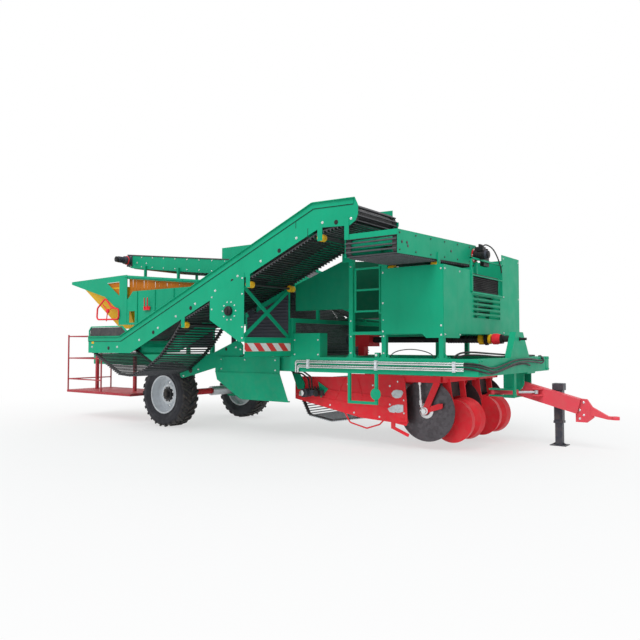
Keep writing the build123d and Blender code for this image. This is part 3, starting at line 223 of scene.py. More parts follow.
def roller_paint():
    """Yellow idler wheels on dark shafts, and dark drums at the elevator's ends."""
    nodes = Nodes("roller_paint")
    tone = nodes.ramp(nodes.noise(6, 4), 0.3, 0.7)
    base = nodes.mix(tone, (0.72, 0.40, 0.012), (0.92, 0.55, 0.015))
    x, y, z = (nodes.axis(name) for name in "XYZ")
    shaft_reach, cross_reach = 0.366, 0.253
    head = nodes.ramp(x, at(4200, 0, 0).x, at(4205, 0, 0).x)
    shaft = nodes.math("COMPARE", y, at(0, -653, 0).y)
    shaft.node.inputs[2].default_value = shaft_reach
    shaft = nodes.math("MULTIPLY", shaft, nodes.math("SUBTRACT", 1.0, head))
    cross = nodes.math("COMPARE", x, at(4605, 0, 0).x)
    cross.node.inputs[2].default_value = cross_reach
    top_drum = nodes.math("MULTIPLY", nodes.ramp(z, 2.6, 2.61), head)
    tail_drum = nodes.ramp(x, at(-400, 0, 0).x, at(-405, 0, 0).x)
    drums = nodes.math("MAXIMUM", top_drum, tail_drum)
    dark_share = nodes.math("MAXIMUM", nodes.math("MAXIMUM", shaft, cross), drums)
    base = nodes.mix(dark_share, base, (0.035, 0.035, 0.038))
    nodes.bump(nodes.noise(180, 2), 0.0005, 0.3)
    return nodes.finish(base, nodes.ramp(nodes.noise(8, 3), 0.3, 0.7, 0.4, 0.6))


def stripes():
    """Red and white slanting stripes of a warning board."""
    nodes = Nodes("warning_stripes")
    stripe_pair = 0.24
    slant = nodes.math("ADD", nodes.axis("Z"), nodes.axis("Y"))
    turns = nodes.math("FRACT", nodes.math("MULTIPLY", slant, 1 / stripe_pair))
    red_share = nodes.ramp(nodes.math("PINGPONG", turns, 0.5), 0.245, 0.255)
    white = nodes.mix(nodes.ramp(nodes.noise(30, 4), 0.4, 0.8, 0, 0.2), (0.82, 0.82, 0.82), DUST)
    base = nodes.mix(red_share, white, (0.72, 0.03, 0.035))
    nodes.bump(nodes.cells(300), 0.0003, 0.3)
    return nodes.finish(base, nodes.ramp(nodes.noise(12, 3), 0.3, 0.7, 0.3, 0.45), coat=0.3)


GREEN = (0.006, 0.400, 0.212)
RED = (0.94, 0.036, 0.052)
green = painted("green_paint", GREEN)
# painted shade: a darker green for the middle panel, which lies in shade inside the machine
painted_shade_green = painted("green_painted_shade_inside", shade(GREEN, 0.62), 0.5, 0.2, 0.02)
# painted shade: a deep green for the plates at the back of the platform, which stand in for the
# shade inside the machine
painted_deep_shade_green = painted("green_painted_deep_shade", shade(GREEN, 0.26), 0.55, 0.2, 0.0)
red = painted("red_paint", RED, 0.42, 0.14)
red_pale = painted("red_drawbar", (0.86, 0.085, 0.115), 0.42, 0.14)
red_dull = painted("red_rails", (0.46, 0.045, 0.062), 0.5, 0.3)
yellow = painted("yellow_paint", (0.90, 0.52, 0.012), 0.42, 0.25, 0.15)
orange = painted("orange_flaps", (0.62, 0.19, 0.012), 0.55, 0.3, 0.0, 0.6)
# dark paint: the jack's and the drives' own colour; on the transfer conveyor and the inner plates
# it is painted shade
dark = painted("dark_paint", (0.065, 0.07, 0.09), 0.42, 0.3)
black = painted("black_plastic", (0.018, 0.018, 0.02), 0.4, 0.3, 0.1)
zinc = metal("galvanised", (0.60, 0.63, 0.66))
steel = metal("bright_steel", (0.78, 0.79, 0.80), 0.28, 90, 0.2)
worn = metal("worn_steel", (0.11, 0.10, 0.11), 0.42, 26, 0.5)
web_rubber = rubber("belt_rubber", (0.050, 0.050, 0.055))
web_steel = metal("web_rods", (0.115, 0.117, 0.128), 0.4, 70, 0.4)
hose_rubber = rubber("hose_rubber", (0.020, 0.020, 0.022), 0.5, 0.15)
tyre = tyre_rubber()
wheel = wheel_paint()
board = stripes()
rollers = roller_paint()

# the material of each slot, and the solids that wear another tone: their own colour, or painted
# shade on the middle panel and the transfer conveyor
SLOTS = {
    "green_paint": green, "red_paint": red, "white_paint": wheel, "yellow_paint": yellow,
    "dark_paint": dark, "striped": board, "zinc": zinc, "steel": worn, "web_rubber": web_rubber,
    "tyre_rubber": tyre, "black_plastic": black,
}
TONES_AND_PAINTED_SHADE = {
    "elevator_rollers": rollers, "middle_panel": painted_shade_green, "transfer_conveyor": dark,
    "drawbar": red_pale, "steering_barrel": red_pale, "rear_platform": red_dull,
}
for part in frame["record"]["subparts"]:
    carried = frame["nodes"][part["node"]]
    carried.data.materials.clear()
    carried.data.materials.append(TONES_AND_PAINTED_SHADE.get(part["node"], SLOTS[part["material_slot"]]))

# how wide the solids' edges are rounded, in millimetres
ROUND_EDGES = {
    "chassis_frame": 6, "platform_posts": 4, "deck": 3, "side_panel": 2, "front_panel": 2,
    "left_wall": 2, "middle_panel": 2, "step": 3, "oil_tank": 6, "gearbox": 12, "drive_stand": 6,
    "elevator_outer_wall": 2, "elevator_inner_wall": 2, "elevator_brace": 2, "skirt": 2,
    "arm_plate": 4, "cross_conveyor": 2, "inner_conveyor": 2, "hopper": 2, "hopper_wings": 2,
    "funnel": 2, "upper_conveyor": 2, "rear_platform": 3, "dig_frame": 5, "dig_share": 2,
    "drawbar": 6, "drawbar_bracket": 4, "jack_tube": 3, "jack_leg": 3, "axle_tube": 5,
    "axle_sleeve": 5, "right_ridge_roller": 8, "left_ridge_roller": 8, "right_wheel": 2,
    "left_wheel": 2, "right_tyre": 5, "left_tyre": 5, "steering_barrel": 3, "steering_ram": 2,
}


def round_edges(thing, width, angle):
    """Rounds the edges that turn by more than an angle in degrees."""
    bevel = thing.modifiers.new("edges", "BEVEL")
    bevel.width = width / 1000
    bevel.segments = 2
    bevel.limit_method = "ANGLE"
    bevel.angle_limit = radians(angle)


for node, width in ROUND_EDGES.items():
    round_edges(frame["nodes"][node], width, 38)

# ---- shapes ----


def rounded(corners, bend, closed=True, steps=5):
    """Points of a path whose corners are rounded."""
    points = []
    last = len(corners) - 1
    for index, corner in enumerate(corners):
        here = Vector(corner)
        if not closed and index in (0, last):
            points.append(here)
            continue
        back = Vector(corners[index - 1]) - here
        ahead = Vector(corners[(index + 1) % len(corners)]) - here
        angle = back.angle(ahead)
        if pi - angle < 0.01:
            points.append(here)
            continue
        cut = min(bend / tan(angle / 2), 0.49 * back.length, 0.49 * ahead.length)
        back.normalize()
        ahead.normalize()
        middle = here + (back + ahead).normalized() * cut / cos(angle / 2)
        first, second = here + back * cut - middle, here + ahead * cut - middle
        turn = first.angle(second)
        for step in range(steps + 1):
            share = step / steps
            points.append(middle + (first * sin((1 - share) * turn) + second * sin(share * turn))
                          / sin(turn))
    return points


def spaced(points, pitch):
    """Evenly spaced (point, direction) pairs round a closed path."""
    ring = points + points[:1]
    lengths = [(b - a).length for a, b in zip(ring, ring[1:])]
    total = sum(lengths)
    count = int(total / pitch)
    places, index, passed = [], 0, 0.0
    for step in range(count):
        goal = step * total / count
        while passed + lengths[index] < goal:
            passed += lengths[index]
            index += 1
        way = (ring[index + 1] - ring[index]).normalized()
        places.append((ring[index] + way * (goal - passed), way))
    return places


class Shape:
    """Collects drawing points, in millimetres, into one mesh."""

    def __init__(self):
        self.points, self.faces, self.finishes = [], [], []
        self.finish = 0

    def add(self, points, faces):
        """Takes points and the faces between them, in the finish that is set."""
        start = len(self.points)
        self.points += [tuple(p) for p in points]
        self.faces += [[start + index for index in face] for face in faces]
        self.finishes += [self.finish] * len(faces)

    def box(self, x, y, z):
        """A box between two values on each axis."""
        corners = [(a, b, c) for a in x for b in y for c in z]
        self.add(corners, [(0, 1, 3, 2), (4, 6, 7, 5), (0, 4, 5, 1), (2, 3, 7, 6), (0, 2, 6, 4),
                           (1, 5, 7, 3)])

    def prism(self, outline, lift, start, depth):
        """An outline raised along an axis: lift turns (a, b, along) into a point."""
        count = len(outline)
        ends = [lift(a, b, along) for along in (start, start + depth) for a, b in outline]
        faces = [list(range(count))[::-1], list(range(count, 2 * count))]
        faces += [(i, (i + 1) % count, (i + 1) % count + count, i + count) for i in range(count)]
        self.add(ends, faces)

    def plate(self, outline, start, depth):
        """A plate cut to an outline seen from the right, as thick as depth to the left."""
        self.prism(outline, lambda a, b, along: (a, along, b), start, depth)

    def rings(self, rings, closed=False):
        """Joins rings of points into a skin, with caps where it isn't closed."""
        count = len(rings[0])
        points = [p for ring in rings for p in ring]
        faces = []
        spans = len(rings) if closed else len(rings) - 1
        for row in range(spans):
            near, far = row * count, (row + 1) % len(rings) * count
            faces += [(near + i, near + (i + 1) % count, far + (i + 1) % count, far + i)
                      for i in range(count)]
        if not closed:
            faces += [list(range(count))[::-1],
                      list(range(len(points) - count, len(points)))]
        self.add(points, faces)

    def tube(self, start, end, radius, sides=12):
        """A straight round bar."""
        start, end = Vector(start), Vector(end)
        way = (end - start).normalized()
        side = way.orthogonal().normalized()
        up = way.cross(side)
        rings = []
        for spot in (start, end):
            rings.append([spot + (side * cos(2 * pi * i / sides) + up * sin(2 * pi * i / sides))
                          * radius for i in range(sides)])
        self.rings(rings)

    def hose(self, corners, radius, bend, sides=8, closed=False):
        """A tube along a path with rounded corners."""
        path = rounded(corners, bend, closed, 6)
        side = None
        rings = []
        for index, spot in enumerate(path):
            before = path[index - 1] if index or closed else spot
            after = path[(index + 1) % len(path)] if index < len(path) - 1 or closed else spot
            way = (after - before).normalized()
            side = way.orthogonal() if side is None else side - way * side.dot(way)
            side.normalize()
            up = way.cross(side)
            rings.append([spot + (side * cos(2 * pi * i / sides) + up * sin(2 * pi * i / sides))
                          * radius for i in range(sides)])
        self.rings(rings, closed)

    def lathe(self, profile, spot, way, sides=24):
        """A turned shape: profile has (radius, distance along the axis) pairs."""
        spot, way = Vector(spot), Vector(way).normalized()
        side = way.orthogonal().normalized()
        up = way.cross(side)
        rings = []
        for radius, along in profile:
            rings.append([spot + way * along + (side * cos(2 * pi * i / sides)
                          + up * sin(2 * pi * i / sides)) * max(radius, 0.01)
                          for i in range(sides)])
        self.rings(rings)

    def bolt(self, spot, way, size=9):
        """A washer and a hexagon head that stand on a face."""
        self.lathe(((size * 1.5, -1), (size * 1.5, 2), (size * 1.35, 3)), spot, way, 12)
        self.lathe(((size, 3), (size, size * 0.9 + 3), (size * 0.8, size + 3)), spot, way, 6)

    def piece(self, name, body, materials, replaces=(), edges=0.0, smooth=40):
        """Writes the mesh, gives it its finish and lets it ride on a body."""
        mesh = bpy.data.meshes.new(name)
        mesh.from_pydata([at(*p) for p in self.points], [], self.faces)
        for material in materials:
            mesh.materials.append(material)
        mesh.polygons.foreach_set("material_index", self.finishes)
        mesh.validate()
        mesh.shade_smooth()
        mesh.set_sharp_from_angle(angle=radians(smooth))
        mesh.update()
        thing = bpy.data.objects.new(name, mesh)
        bpy.context.scene.collection.objects.link(thing)
        if edges:
            round_edges(thing, edges, 40)
        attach(thing, body)
        if replaces:
            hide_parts(*replaces)
        return thing


def fore_and_aft(along, height, side):
    """A web that runs along the machine."""
    return (along, side, height)


def crosswise(along, height, side):
    """A web that runs across the machine."""
    return (side, along, height)


def circle(radius, count, shift=0.0):
    """Evenly spaced pairs round a circle."""
    angles = [2 * pi * (step + shift) / count for step in range(count)]
    return [(radius * cos(angle), radius * sin(angle)) for angle in angles]


def web(name, node, body, place, corners, bend, start, width, belts, pitch=34, rod=10,
        belt=60, thickness=12, bright=False):
    """A rod-link web: rubber belts with round rods riveted on their outer side."""
    loop = rounded(corners, bend)
    area = sum(a.x * b.y - b.x * a.y for a, b in zip(loop, loop[1:] + loop[:1]))
    out = 1 if area > 0 else -1
    shape = Shape()
    count = len(loop)
    normals = []
    for index in range(count):
        way = (loop[(index + 1) % count] - loop[index - 1]).normalized()
        normals.append(Vector((way.y, -way.x)) * out)
    pace = (width - belt) / (belts - 1)
    for strip in range(belts):
        near = start + strip * pace
        rings = []
        for spot, normal in zip(loop, normals):
            inner = spot - normal * thickness
            rings.append([place(spot.x, spot.y, near), place(spot.x, spot.y, near + belt),
                          place(inner.x, inner.y, near + belt), place(inner.x, inner.y, near)])
        shape.rings(rings, closed=True)
    shape.finish = 1
    for spot, way in spaced(loop, pitch):
        normal = Vector((way.y, -way.x)) * out
        spot = spot + normal * (rod + 0.5)
        shape.tube(place(spot.x, spot.y, start), place(spot.x, spot.y, start + width), rod, 8)
    rods = zinc if bright else web_steel
    return shape.piece(name, body, [web_rubber, rods], (node,), smooth=50)


# ---- webs ----

SHEET = 6
ELEVATOR_RIGHT, ELEVATOR_LEFT = -1106, -200
IDLERS = ((3915, 2577), (2780, 2098), (1565, 1610))
IDLER_RADIUS = 45
BELT_CLEAR = 16


def over_idler(spot, slope):
    """Where the returning web's middle line lies on an idler."""
    rise = IDLER_RADIUS + BELT_CLEAR
    angle = atan2(slope, 1)
    return (spot[0] - rise * sin(angle), spot[1] + rise * cos(angle))


ELEVATOR_PATH = [(-620, 1410), (180, 1410), (3860, 2905), (4412, 2900), (4412, 2715)]
ELEVATOR_PATH += [over_idler(spot, slope) for spot, slope in zip(IDLERS, (0.4, 0.41, 0.6))]
ELEVATOR_PATH += [(1340, 1436), (1072, 1182), (738, 975), (400, 882), (120, 900), (-300, 1095),
                  (-620, 1255)]
web("elevator_rod_web", "elevator_web", "chassis", fore_and_aft, ELEVATOR_PATH, 70,
    ELEVATOR_RIGHT + SHEET + 5, ELEVATOR_LEFT - ELEVATOR_RIGHT - 2 * SHEET - 10, 2, pitch=50)

# painted shade: a dark sheet under the carrying run stands in for the shade inside the elevator
shade_sheet = Shape()
shade_sheet.plate(((520, 1484), (3780, 2807), (3780, 2801), (520, 1478)), -1086, 866)
shade_sheet.piece("elevator_painted_shade_sheet", "chassis", [web_rubber])

CROSS_PATH = ((-1092, 2520), (936, 2590), (936, 2370), (-130, 2336), (-1092, 2320))
web("cross_rod_web", "cross_web", "chassis", crosswise, CROSS_PATH, 60, 4276, 658, 2, pitch=48)
TABLE_RIGHT, TABLE_LEFT = 450, 1656
INNER_PATH = ((4890, 2010), (3250, 2010), (960, 2850), (960, 2710), (2200, 2160), (3250, 1730),
              (4840, 1770))
web("picking_rod_web", "inner_web", "chassis", fore_and_aft, INNER_PATH, 50,
    TABLE_RIGHT + SHEET + 5, TABLE_LEFT - TABLE_RIGHT - 2 * SHEET - 10, 2)


def upper_low(x):
    """The height of the upper conveyor's lower edge."""
    return 2478 + (940 - x) / 2730 * 306


UPPER_PATH = ((928, 2683), (-1770, 2989), (-1770, 2854), (-1610, upper_low(-1610) + 12),
              (880, 2490), (928, 2548))
web("upper_rod_web", "upper_web", "chassis", fore_and_aft, UPPER_PATH, 40,
    TABLE_RIGHT + SHEET + 5, TABLE_LEFT - TABLE_RIGHT - 2 * SHEET - 10, 2)
DIG_PATH = ((4060, 560), (2600, 840), (2500, 700), (2700, 340), (3100, 280), (4060, 430))
web("digging_rod_web", "dig_web", "digging_unit", fore_and_aft, DIG_PATH, 60, 240, 1820, 3,
    pitch=38, rod=8, bright=True)
CLIMB = (Vector((2390, 1235)), Vector((1530, 2210)))
CLIMB_RADIUS = 67.3
climb_way = (CLIMB[1] - CLIMB[0]).normalized() * CLIMB_RADIUS
climb_out = Vector((-climb_way.y, climb_way.x))
CLIMB_PATH = [CLIMB[0] - climb_way - climb_out, CLIMB[0] - climb_way + climb_out,
              CLIMB[1] + climb_way + climb_out, CLIMB[1] + climb_way - climb_out]
web("transfer_rod_web", "transfer_web", "chassis", fore_and_aft, CLIMB_PATH, 55, -55, 2260, 3)

# ---- side elevator ----


def bolt_line(x):
    """The height of the row of bolts along the elevator's wall."""
    return min(max(1302, 1404 + (x - 625) * 0.4077), 2745)


fittings = Shape()
sockets = Shape()
for face, way in ((ELEVATOR_RIGHT, -1), (ELEVATOR_LEFT, 1)):
    for x in (-544, 99, 625, 1042, 1422, 1812, 2197, 2605, 2999, 3568, 3955, 4353):
        fittings.bolt((x, face, bolt_line(x)), (0, way, 0), 11)
    for x in (-120, 937, 1723, 2508, 3300, 4149):
        sockets.lathe(((27, -1), (27, 3), (21, 5), (0, 5)), (x, face, bolt_line(x) - 18),
                      (0, way, 0), 20)
fittings.piece("elevator_bolts", "chassis", [steel])
sockets.piece("elevator_sockets", "chassis", [black])

# the bearing on the plate beside the tower
bearing = Shape()
BEARING = (2460, ELEVATOR_RIGHT - 46, 1770)
bearing.lathe(((62, 38), (62, 6), (54, -2), (34, -8), (30, -26), (0, -26)), BEARING, (0, 1, 0), 28)
bearing.piece("elevator_bearing", "chassis", [black], edges=1.5)
studs = Shape()
for along, lift in circle(118, 10):
    studs.bolt((BEARING[0] + along, ELEVATOR_RIGHT - SHEET, BEARING[2] + lift), RIGHT, 7)
for x, z in ((2140, 1800), (2140, 1960), (2690, 2180), (2690, 1980), (2690, 1560), (2690, 1420)):
    studs.bolt((x, ELEVATOR_RIGHT - SHEET, z), RIGHT, 8)
studs.piece("bearing_bolts", "chassis", [steel])

# ---- pipes on the right beam, with their clamps ----

BEAM_RIGHT = -180
CLAMP_DEPTH = 42
CLAMPS = (3040, 4110, 5160)
pipes = Shape()
for z, y in ((1120, -196), (1097, -206), (1058, -196), (1035, -206)):
    x = 2820 + (1120 - z) * 0.6
    pipes.hose(((x, y, 960), (x, y, z), (5280, y, z)), 9, 34)
pipes.finish = 1
for x in CLAMPS:
    pipes.box((x - 16, x + 16), (BEAM_RIGHT - CLAMP_DEPTH, BEAM_RIGHT), (1016, 1138))
pipes.finish = 2
for x in CLAMPS:
    for z in (1030, 1078, 1126):
        pipes.bolt((x, BEAM_RIGHT - CLAMP_DEPTH, z), RIGHT, 5)
pipes.piece("beam_pipes", "chassis", [steel, wheel, zinc], ("hydraulic_pipes",), edges=1)

# ---- wheels ----

for side, y, way in (("right", 0, -1), ("left", 1780, 1)):
    nuts = Shape()
    for along, lift in circle(128, 10, 0.5):
        nuts.bolt((along, y + way * 40, AXLE_HEIGHT + lift), (0, way, 0), 12)
    nuts.piece(f"{side}_wheel_nuts", f"{side}_wheel", [steel])
    cap = Shape()
    cap.lathe(((82, 62), (84, 66), (60, 70), (52, 102), (44, 106), (0, 107)),
              (0, y, AXLE_HEIGHT), (0, way, 0), 28)
    for along, lift in circle(70, 8):
        cap.bolt((along, y + way * 64, AXLE_HEIGHT + lift), (0, way, 0), 6)
    cap.piece(f"{side}_hub_cap", f"{side}_wheel", [black], edges=1)

# ---- folds and covers of the side elevator ----

fold = Shape()
fold.plate(((-650, 1470), (170, 1470), (3810, 3000), (4392, 2984), (4386, 2908), (3826, 2922),
            (186, 1392), (-650, 1392)), ELEVATOR_RIGHT - 9, 9)
fold.piece("elevator_fold", "chassis", [green], edges=1.5)

# painted shadow: a thin black line along the fold's lower edge stands in for the shadow gap under
# it; two short black seams stand on the wall
shadow_line_and_seams = Shape()
shadow_line_and_seams.hose(((-650, ELEVATOR_RIGHT - 3, 1389), (187, ELEVATOR_RIGHT - 3, 1389),
            (3827, ELEVATOR_RIGHT - 3, 2919), (4386, ELEVATOR_RIGHT - 3, 2905)), 4, 6, 6)
for x, z in ((3560, 2780), (3740, 2640)):
    shadow_line_and_seams.hose(((x, ELEVATOR_RIGHT - 1, z + 60), (x, ELEVATOR_RIGHT - 1, z - 60)), 3, 1, 6)
shadow_line_and_seams.piece("elevator_shadow_line_and_seams", "chassis", [black])

# the bar that holds the tail's curtain
tail = Shape()
tail.plate(((-640, 1470), (-640, 1560), (-580, 1622), (210, 1622), (330, 1545), (330, 1500),
            (200, 1604), (-572, 1604), (-620, 1553), (-620, 1470)), ELEVATOR_RIGHT - 4, 14)
for x in (-600, -200, 190):
    tail.bolt((x, ELEVATOR_RIGHT - 4, 1500 if x < -500 else 1613), RIGHT, 6)
tail.piece("tail_curtain_frame", "chassis", [green], edges=1)

# a plain yellow reflector at the wall's tail
marker = Shape()
marker.plate(((-560, 1352), (-500, 1352), (-500, 1412), (-560, 1412)), ELEVATOR_RIGHT - 3, 3)
marker.piece("elevator_marker", "chassis", [yellow], edges=0.5)

# ---- platform: feet, panels and their bolts ----

feet = Shape()
for x in (3690, 4180, 4960):
    feet.box((x - 36, x + 96), (-178, -62), (1170, 1181))
    for along in (-22, 82):
        for side in (-165, -76):
            feet.bolt((x + along, side, 1181), UP, 8)
feet.box((4074, 4134), (-172, -120), (1170, 1236))
feet.piece("post_feet", "chassis", [green], edges=2)

pins = Shape()
for x, z in ((4995, 2230), (4995, 1560), (4995, 1450), (4205, 2230), (4205, 1850), (4205, 1500)):
    pins.bolt((x, -186, z), RIGHT, 8)
for x in (3720, 4210):
    for z in (1230, 1440, 1640, 2340):
        pins.bolt((x, -180, z), RIGHT, 7)
for y in (-150, 260):
    for z in (1455, 2230):
        pins.bolt((5026, y, z), AHEAD, 8)
for y in (1700, 2290):
    for z in (1500, 2000, 2540):
        pins.bolt((5026, y, z), AHEAD, 8)
for z in (1205, 1400):
    for x in (2790, 3190):
        pins.bolt((x, -180, z), RIGHT, 8)
pins.lathe(((16, 0), (16, 16), (0, 16)), (4104, -172, 1206), RIGHT, 12)
pins.piece("panel_bolts", "chassis", [steel])

# end caps of the beams, in front and behind
caps = Shape()
for y in (-180, 2210):
    caps.box((5440, 5445), (y, y + 120), (970, 1170))
    for along in (20, 100):
        for z in (995, 1145):
            caps.bolt((5445, y + along, z), AHEAD, 8)
for y in (300, 1380):
    caps.box((-2605, -2600), (y, y + 100), (970, 1170))
caps.piece("beam_caps", "chassis", [green], edges=1.5)

# ---- front panel's window with the guard behind it, and the cross conveyor's front ----

WINDOW = (596, 1660)
window = Shape()
for y in (596, 1634):
    window.box((5012, 5040), (y, y + 26), (1998, 2448))
for z in (1990, 2428):
    window.box((5012, 5040), WINDOW, (z, z + 22))
window.box((5030, 5044), WINDOW, (2214, 2228))
window.piece("window_frame", "chassis", [green], edges=2)

guard = Shape()
guard.box((4975, 5004), (700, 1560), (2026, 2250))
for step in range(9):
    z = 2040 + step * 23
    guard.prism(((5004, z), (5022, z + 3), (5004, z + 15)), lambda a, b, y: (a, y, b), 712, 836)
guard.finish = 1
for y in (690, 1556):
    guard.box((4975, 5012), (y, y + 16), (2020, 2262))
guard.piece("table_end_guard", "chassis", [black, green], edges=1)

# the cross conveyor's motor with its valve block, fins, flange and red ring
MOTOR_Y, MOTOR_Z = 885, 2500
drive = Shape()
drive.lathe(((70, 0), (70, 60), (60, 64), (60, 150), (48, 156), (48, 200), (30, 206), (0, 206)),
            (4952, MOTOR_Y, MOTOR_Z), AHEAD, 28)
drive.box((4985, 5090), (835, 935), (2548, 2604))
for y in (850, 885, 920):
    drive.lathe(((15, 0), (15, 34), (10, 36), (0, 36)), (5040, y, 2604), UP, 12)
for step in range(4):
    drive.lathe(((64, 0), (64, 5)), (5024 + step * 18, MOTOR_Y, MOTOR_Z), AHEAD, 28)
drive.box((4955, 5010), (1060, 1240), (2380, 2520))
drive.lathe(((46, 0), (46, 90), (36, 96), (0, 96)), (4985, 1150, 2520), UP, 20)
drive.finish = 1
for along, lift in circle(82, 6):
    drive.bolt((4960, MOTOR_Y + along, MOTOR_Z + lift), AHEAD, 7)
drive.finish = 2
drive.lathe(((92, 0), (92, 8)), (4951, MOTOR_Y, MOTOR_Z), AHEAD, 28)
drive.piece("cross_conveyor_drive", "chassis", [black, steel, red], edges=1)

# bolts and sockets of the cross conveyor's front wall, which rises to the left
CROSS_FRONT = 4945
wall_bolts = Shape()
for y, z in ((-1010, 2440), (-900, 2446), (-880, 2410), (200, 2480), (840, 2470)):
    wall_bolts.lathe(((17, -1), (17, 4), (12, 6), (0, 6)), (CROSS_FRONT, y, z), AHEAD, 16)
for y in (-1060, -700, -340, 20, 380, 740):
    middle = 2440 + 70 * (y + 1106) / 2056
    for lift in (-92, 92):
        wall_bolts.bolt((CROSS_FRONT, y, middle + lift), AHEAD, 7)
wall_bolts.piece("cross_conveyor_bolts", "chassis", [worn])

# ---- drive line under the platform ----

DRIVE_Y, DRIVE_Z = 1220, 1410
joint = Shape()
joint.lathe(((48, 0), (74, 6), (74, 60), (60, 74), (48, 76)), (4870, DRIVE_Y, DRIVE_Z), AHEAD)
joint.lathe(((48, 0), (66, 6), (66, 40), (48, 46)), (5000, DRIVE_Y, DRIVE_Z), AHEAD)
joint.finish = 1
joint.lathe(((52, 0), (82, 10), (82, 44), (52, 50)), (4948, DRIVE_Y, DRIVE_Z), AHEAD)
for step in range(12):
    joint.lathe(((46, 0), (53, 12), (53, 26), (46, 38)), (4400 + step * 38, DRIVE_Y, DRIVE_Z),
                AHEAD)
joint.finish = 2
joint.lathe(((64, 0), (72, 8), (72, 70), (64, 76), (64, 110), (50, 116)),
            (5060, DRIVE_Y, DRIVE_Z), AHEAD)
joint.piece("drive_line_guards", "chassis", [yellow, black, red], edges=1)

# ---- plates that close the view through the machine; the dark ones are painted shade ----

# the rear left panel with its upright, the left cover and the plate behind the gate, in a deep
# green that is painted shade
LEFT_SIDE = 2262
back = Shape()
back.plate(((2110, 2050), (2760, 2050), (2760, 2740), (2110, 2780)), LEFT_SIDE, 4)
back.box((2110, 2146), (2248, LEFT_SIDE), (2050, 2770))
back.plate(((740, 1255), (1990, 1245), (1990, 1480), (2690, 1480), (2690, 1730), (2100, 1800),
            (740, 1830)), LEFT_SIDE, 4)
back.plate(((3350, 1700), (3790, 1700), (3790, 2470), (3350, 2500)), 443, 5)
back.piece("platform_back_panel", "chassis", [painted_deep_shade_green], edges=1)

# the dark plates behind the web's sag and the brace, painted shade of the machine's inside, and the
# orange one behind the hopper's wing
BRACE_REAR, BRACE_FRONT = 1930, 2700
BRACE_LOW, BRACE_SLOPE = 1725, 0.4026
inner = Shape()
inner.plate(((150, 1300), (1180, 1300), (1180, 1900), (760, 1840), (150, 1560)), -178, 4)
inner.plate(((BRACE_REAR, 1420), (BRACE_FRONT, 1420), (BRACE_FRONT, 2035),
             (BRACE_REAR, BRACE_LOW)), -212, 3)
for step in range(13):
    z = 1446 + step * 46
    start = max(BRACE_REAR, BRACE_REAR + (z - BRACE_LOW) / BRACE_SLOPE)
    inner.tube((start, -218, z), (BRACE_FRONT, -218, z), 8, 6)
inner.finish = 1
inner.plate(((-1790, 2300), (-1390, 2205), (-1390, 2462), (-1790, 2456)), 15, 1.5)
inner.piece("inner_guards", "chassis", [dark, orange], edges=0.5)

# ---- digging unit: nose plates, forks, hub and motor fittings ----

DIG = "digging_unit"
NOSE_RIGHT, NOSE_LEFT = 214, 2080
COULTERS = (448, 1348)
nose = Shape()
for y in (NOSE_RIGHT, NOSE_LEFT):
    nose.plate(((4100, 330), (4300, 300), (4330, 350), (4290, 560), (4290, 905), (4100, 905)),
               y, 6)
# pale covers over the two openings of the nose
nose.finish = 1
for outline in (((4086, 706), (4118, 742), (4160, 756), (4240, 750), (4262, 728), (4248, 690),
                 (4226, 661), (4190, 648), (4150, 645), (4106, 664)),
                ((4030, 508), (4105, 548), (4185, 569), (4262, 566), (4262, 478), (4200, 462),
                 (4120, 456), (4060, 463))):
    nose.plate(outline, 209, 6)
# the link bar down its front edge
nose.finish = 0
nose.plate(((4250, 915), (4288, 915), (4318, 629), (4326, 350), (4200, 342), (4200, 372),
            (4294, 384), (4284, 629)), 198, 10)
nose.piece("digging_nose_plates", DIG, [red, zinc], edges=1)

ribs = Shape()
for y in (212, NOSE_LEFT):
    for start, end in (((2500, 742), (4090, 650)), ((2520, 640), (3300, 560)),
                       ((3300, 560), (4090, 520)), ((3360, 880), (3200, 600)),
                       ((3560, 880), (3640, 640))):
        along = Vector((end[0] - start[0], end[1] - start[1])).normalized()
        side = Vector((-along.y, along.x)) * 7
        ribs.plate(((start[0] - side.x, start[1] - side.y), (end[0] - side.x, end[1] - side.y),
                    (end[0] + side.x, end[1] + side.y), (start[0] + side.x, start[1] + side.y)),
                   y, 8)
ribs.piece("digging_plate_ribs", DIG, [red], edges=2)

forks = Shape()
for y in COULTERS:
    forks.plate(((4690, 902), (4800, 902), (4824, 700), (4850, 600), (4838, 540), (4782, 462),
                 (4738, 486), (4716, 640)), y, 14)
    forks.plate(((4540, 470), (4762, 540), (4770, 600), (4716, 600), (4560, 545)), y - 152, 12)
    forks.hose(((4745, y + 6, 560), (4745, y - 146, 560)), 16, 4)
for x, z in ((4150, 450), (4200, 380), (4270, 400)):
    forks.lathe(((18, 0), (18, 8), (0, 8)), (x, NOSE_RIGHT, z), RIGHT, 14)
forks.piece("coulter_forks", DIG, [red], edges=2)

# bright rods, nuts and bolts of the coulters and the side plates
bright = Shape()
for y in COULTERS:
    bright.bolt((4806, y, 580), RIGHT, 15)
    bright.bolt((4748, y, 870), RIGHT, 11)
bright.lathe(((13, 0), (13, 330)), (4486, 268, 545), (-0.06, 0, 1), 12)
bright.lathe(((22, 0), (22, 60), (13, 64)), (4484, 268, 575), (-0.06, 0, 1), 14)
bright.lathe(((22, 0), (22, 30), (13, 34)), (4470, 268, 830), (-0.06, 0, 1), 14)
bright.lathe(((46, 0), (46, 10), (34, 14), (30, 34), (0, 36)), (4530, 281, 500), RIGHT, 24)
for x, z in ((3400, 800), (3800, 800), (4060, 800), (2560, 620), (2560, 840), (3100, 500),
             (3500, 420), (3900, 390), (4060, 560), (3700, 560)):
    bright.bolt((x, 220, z), RIGHT, 9)
for x, z in ((4180, 860), (4270, 860), (4270, 460), (4270, 625), (4120, 700)):
    bright.bolt((x, NOSE_RIGHT, z), RIGHT, 8)
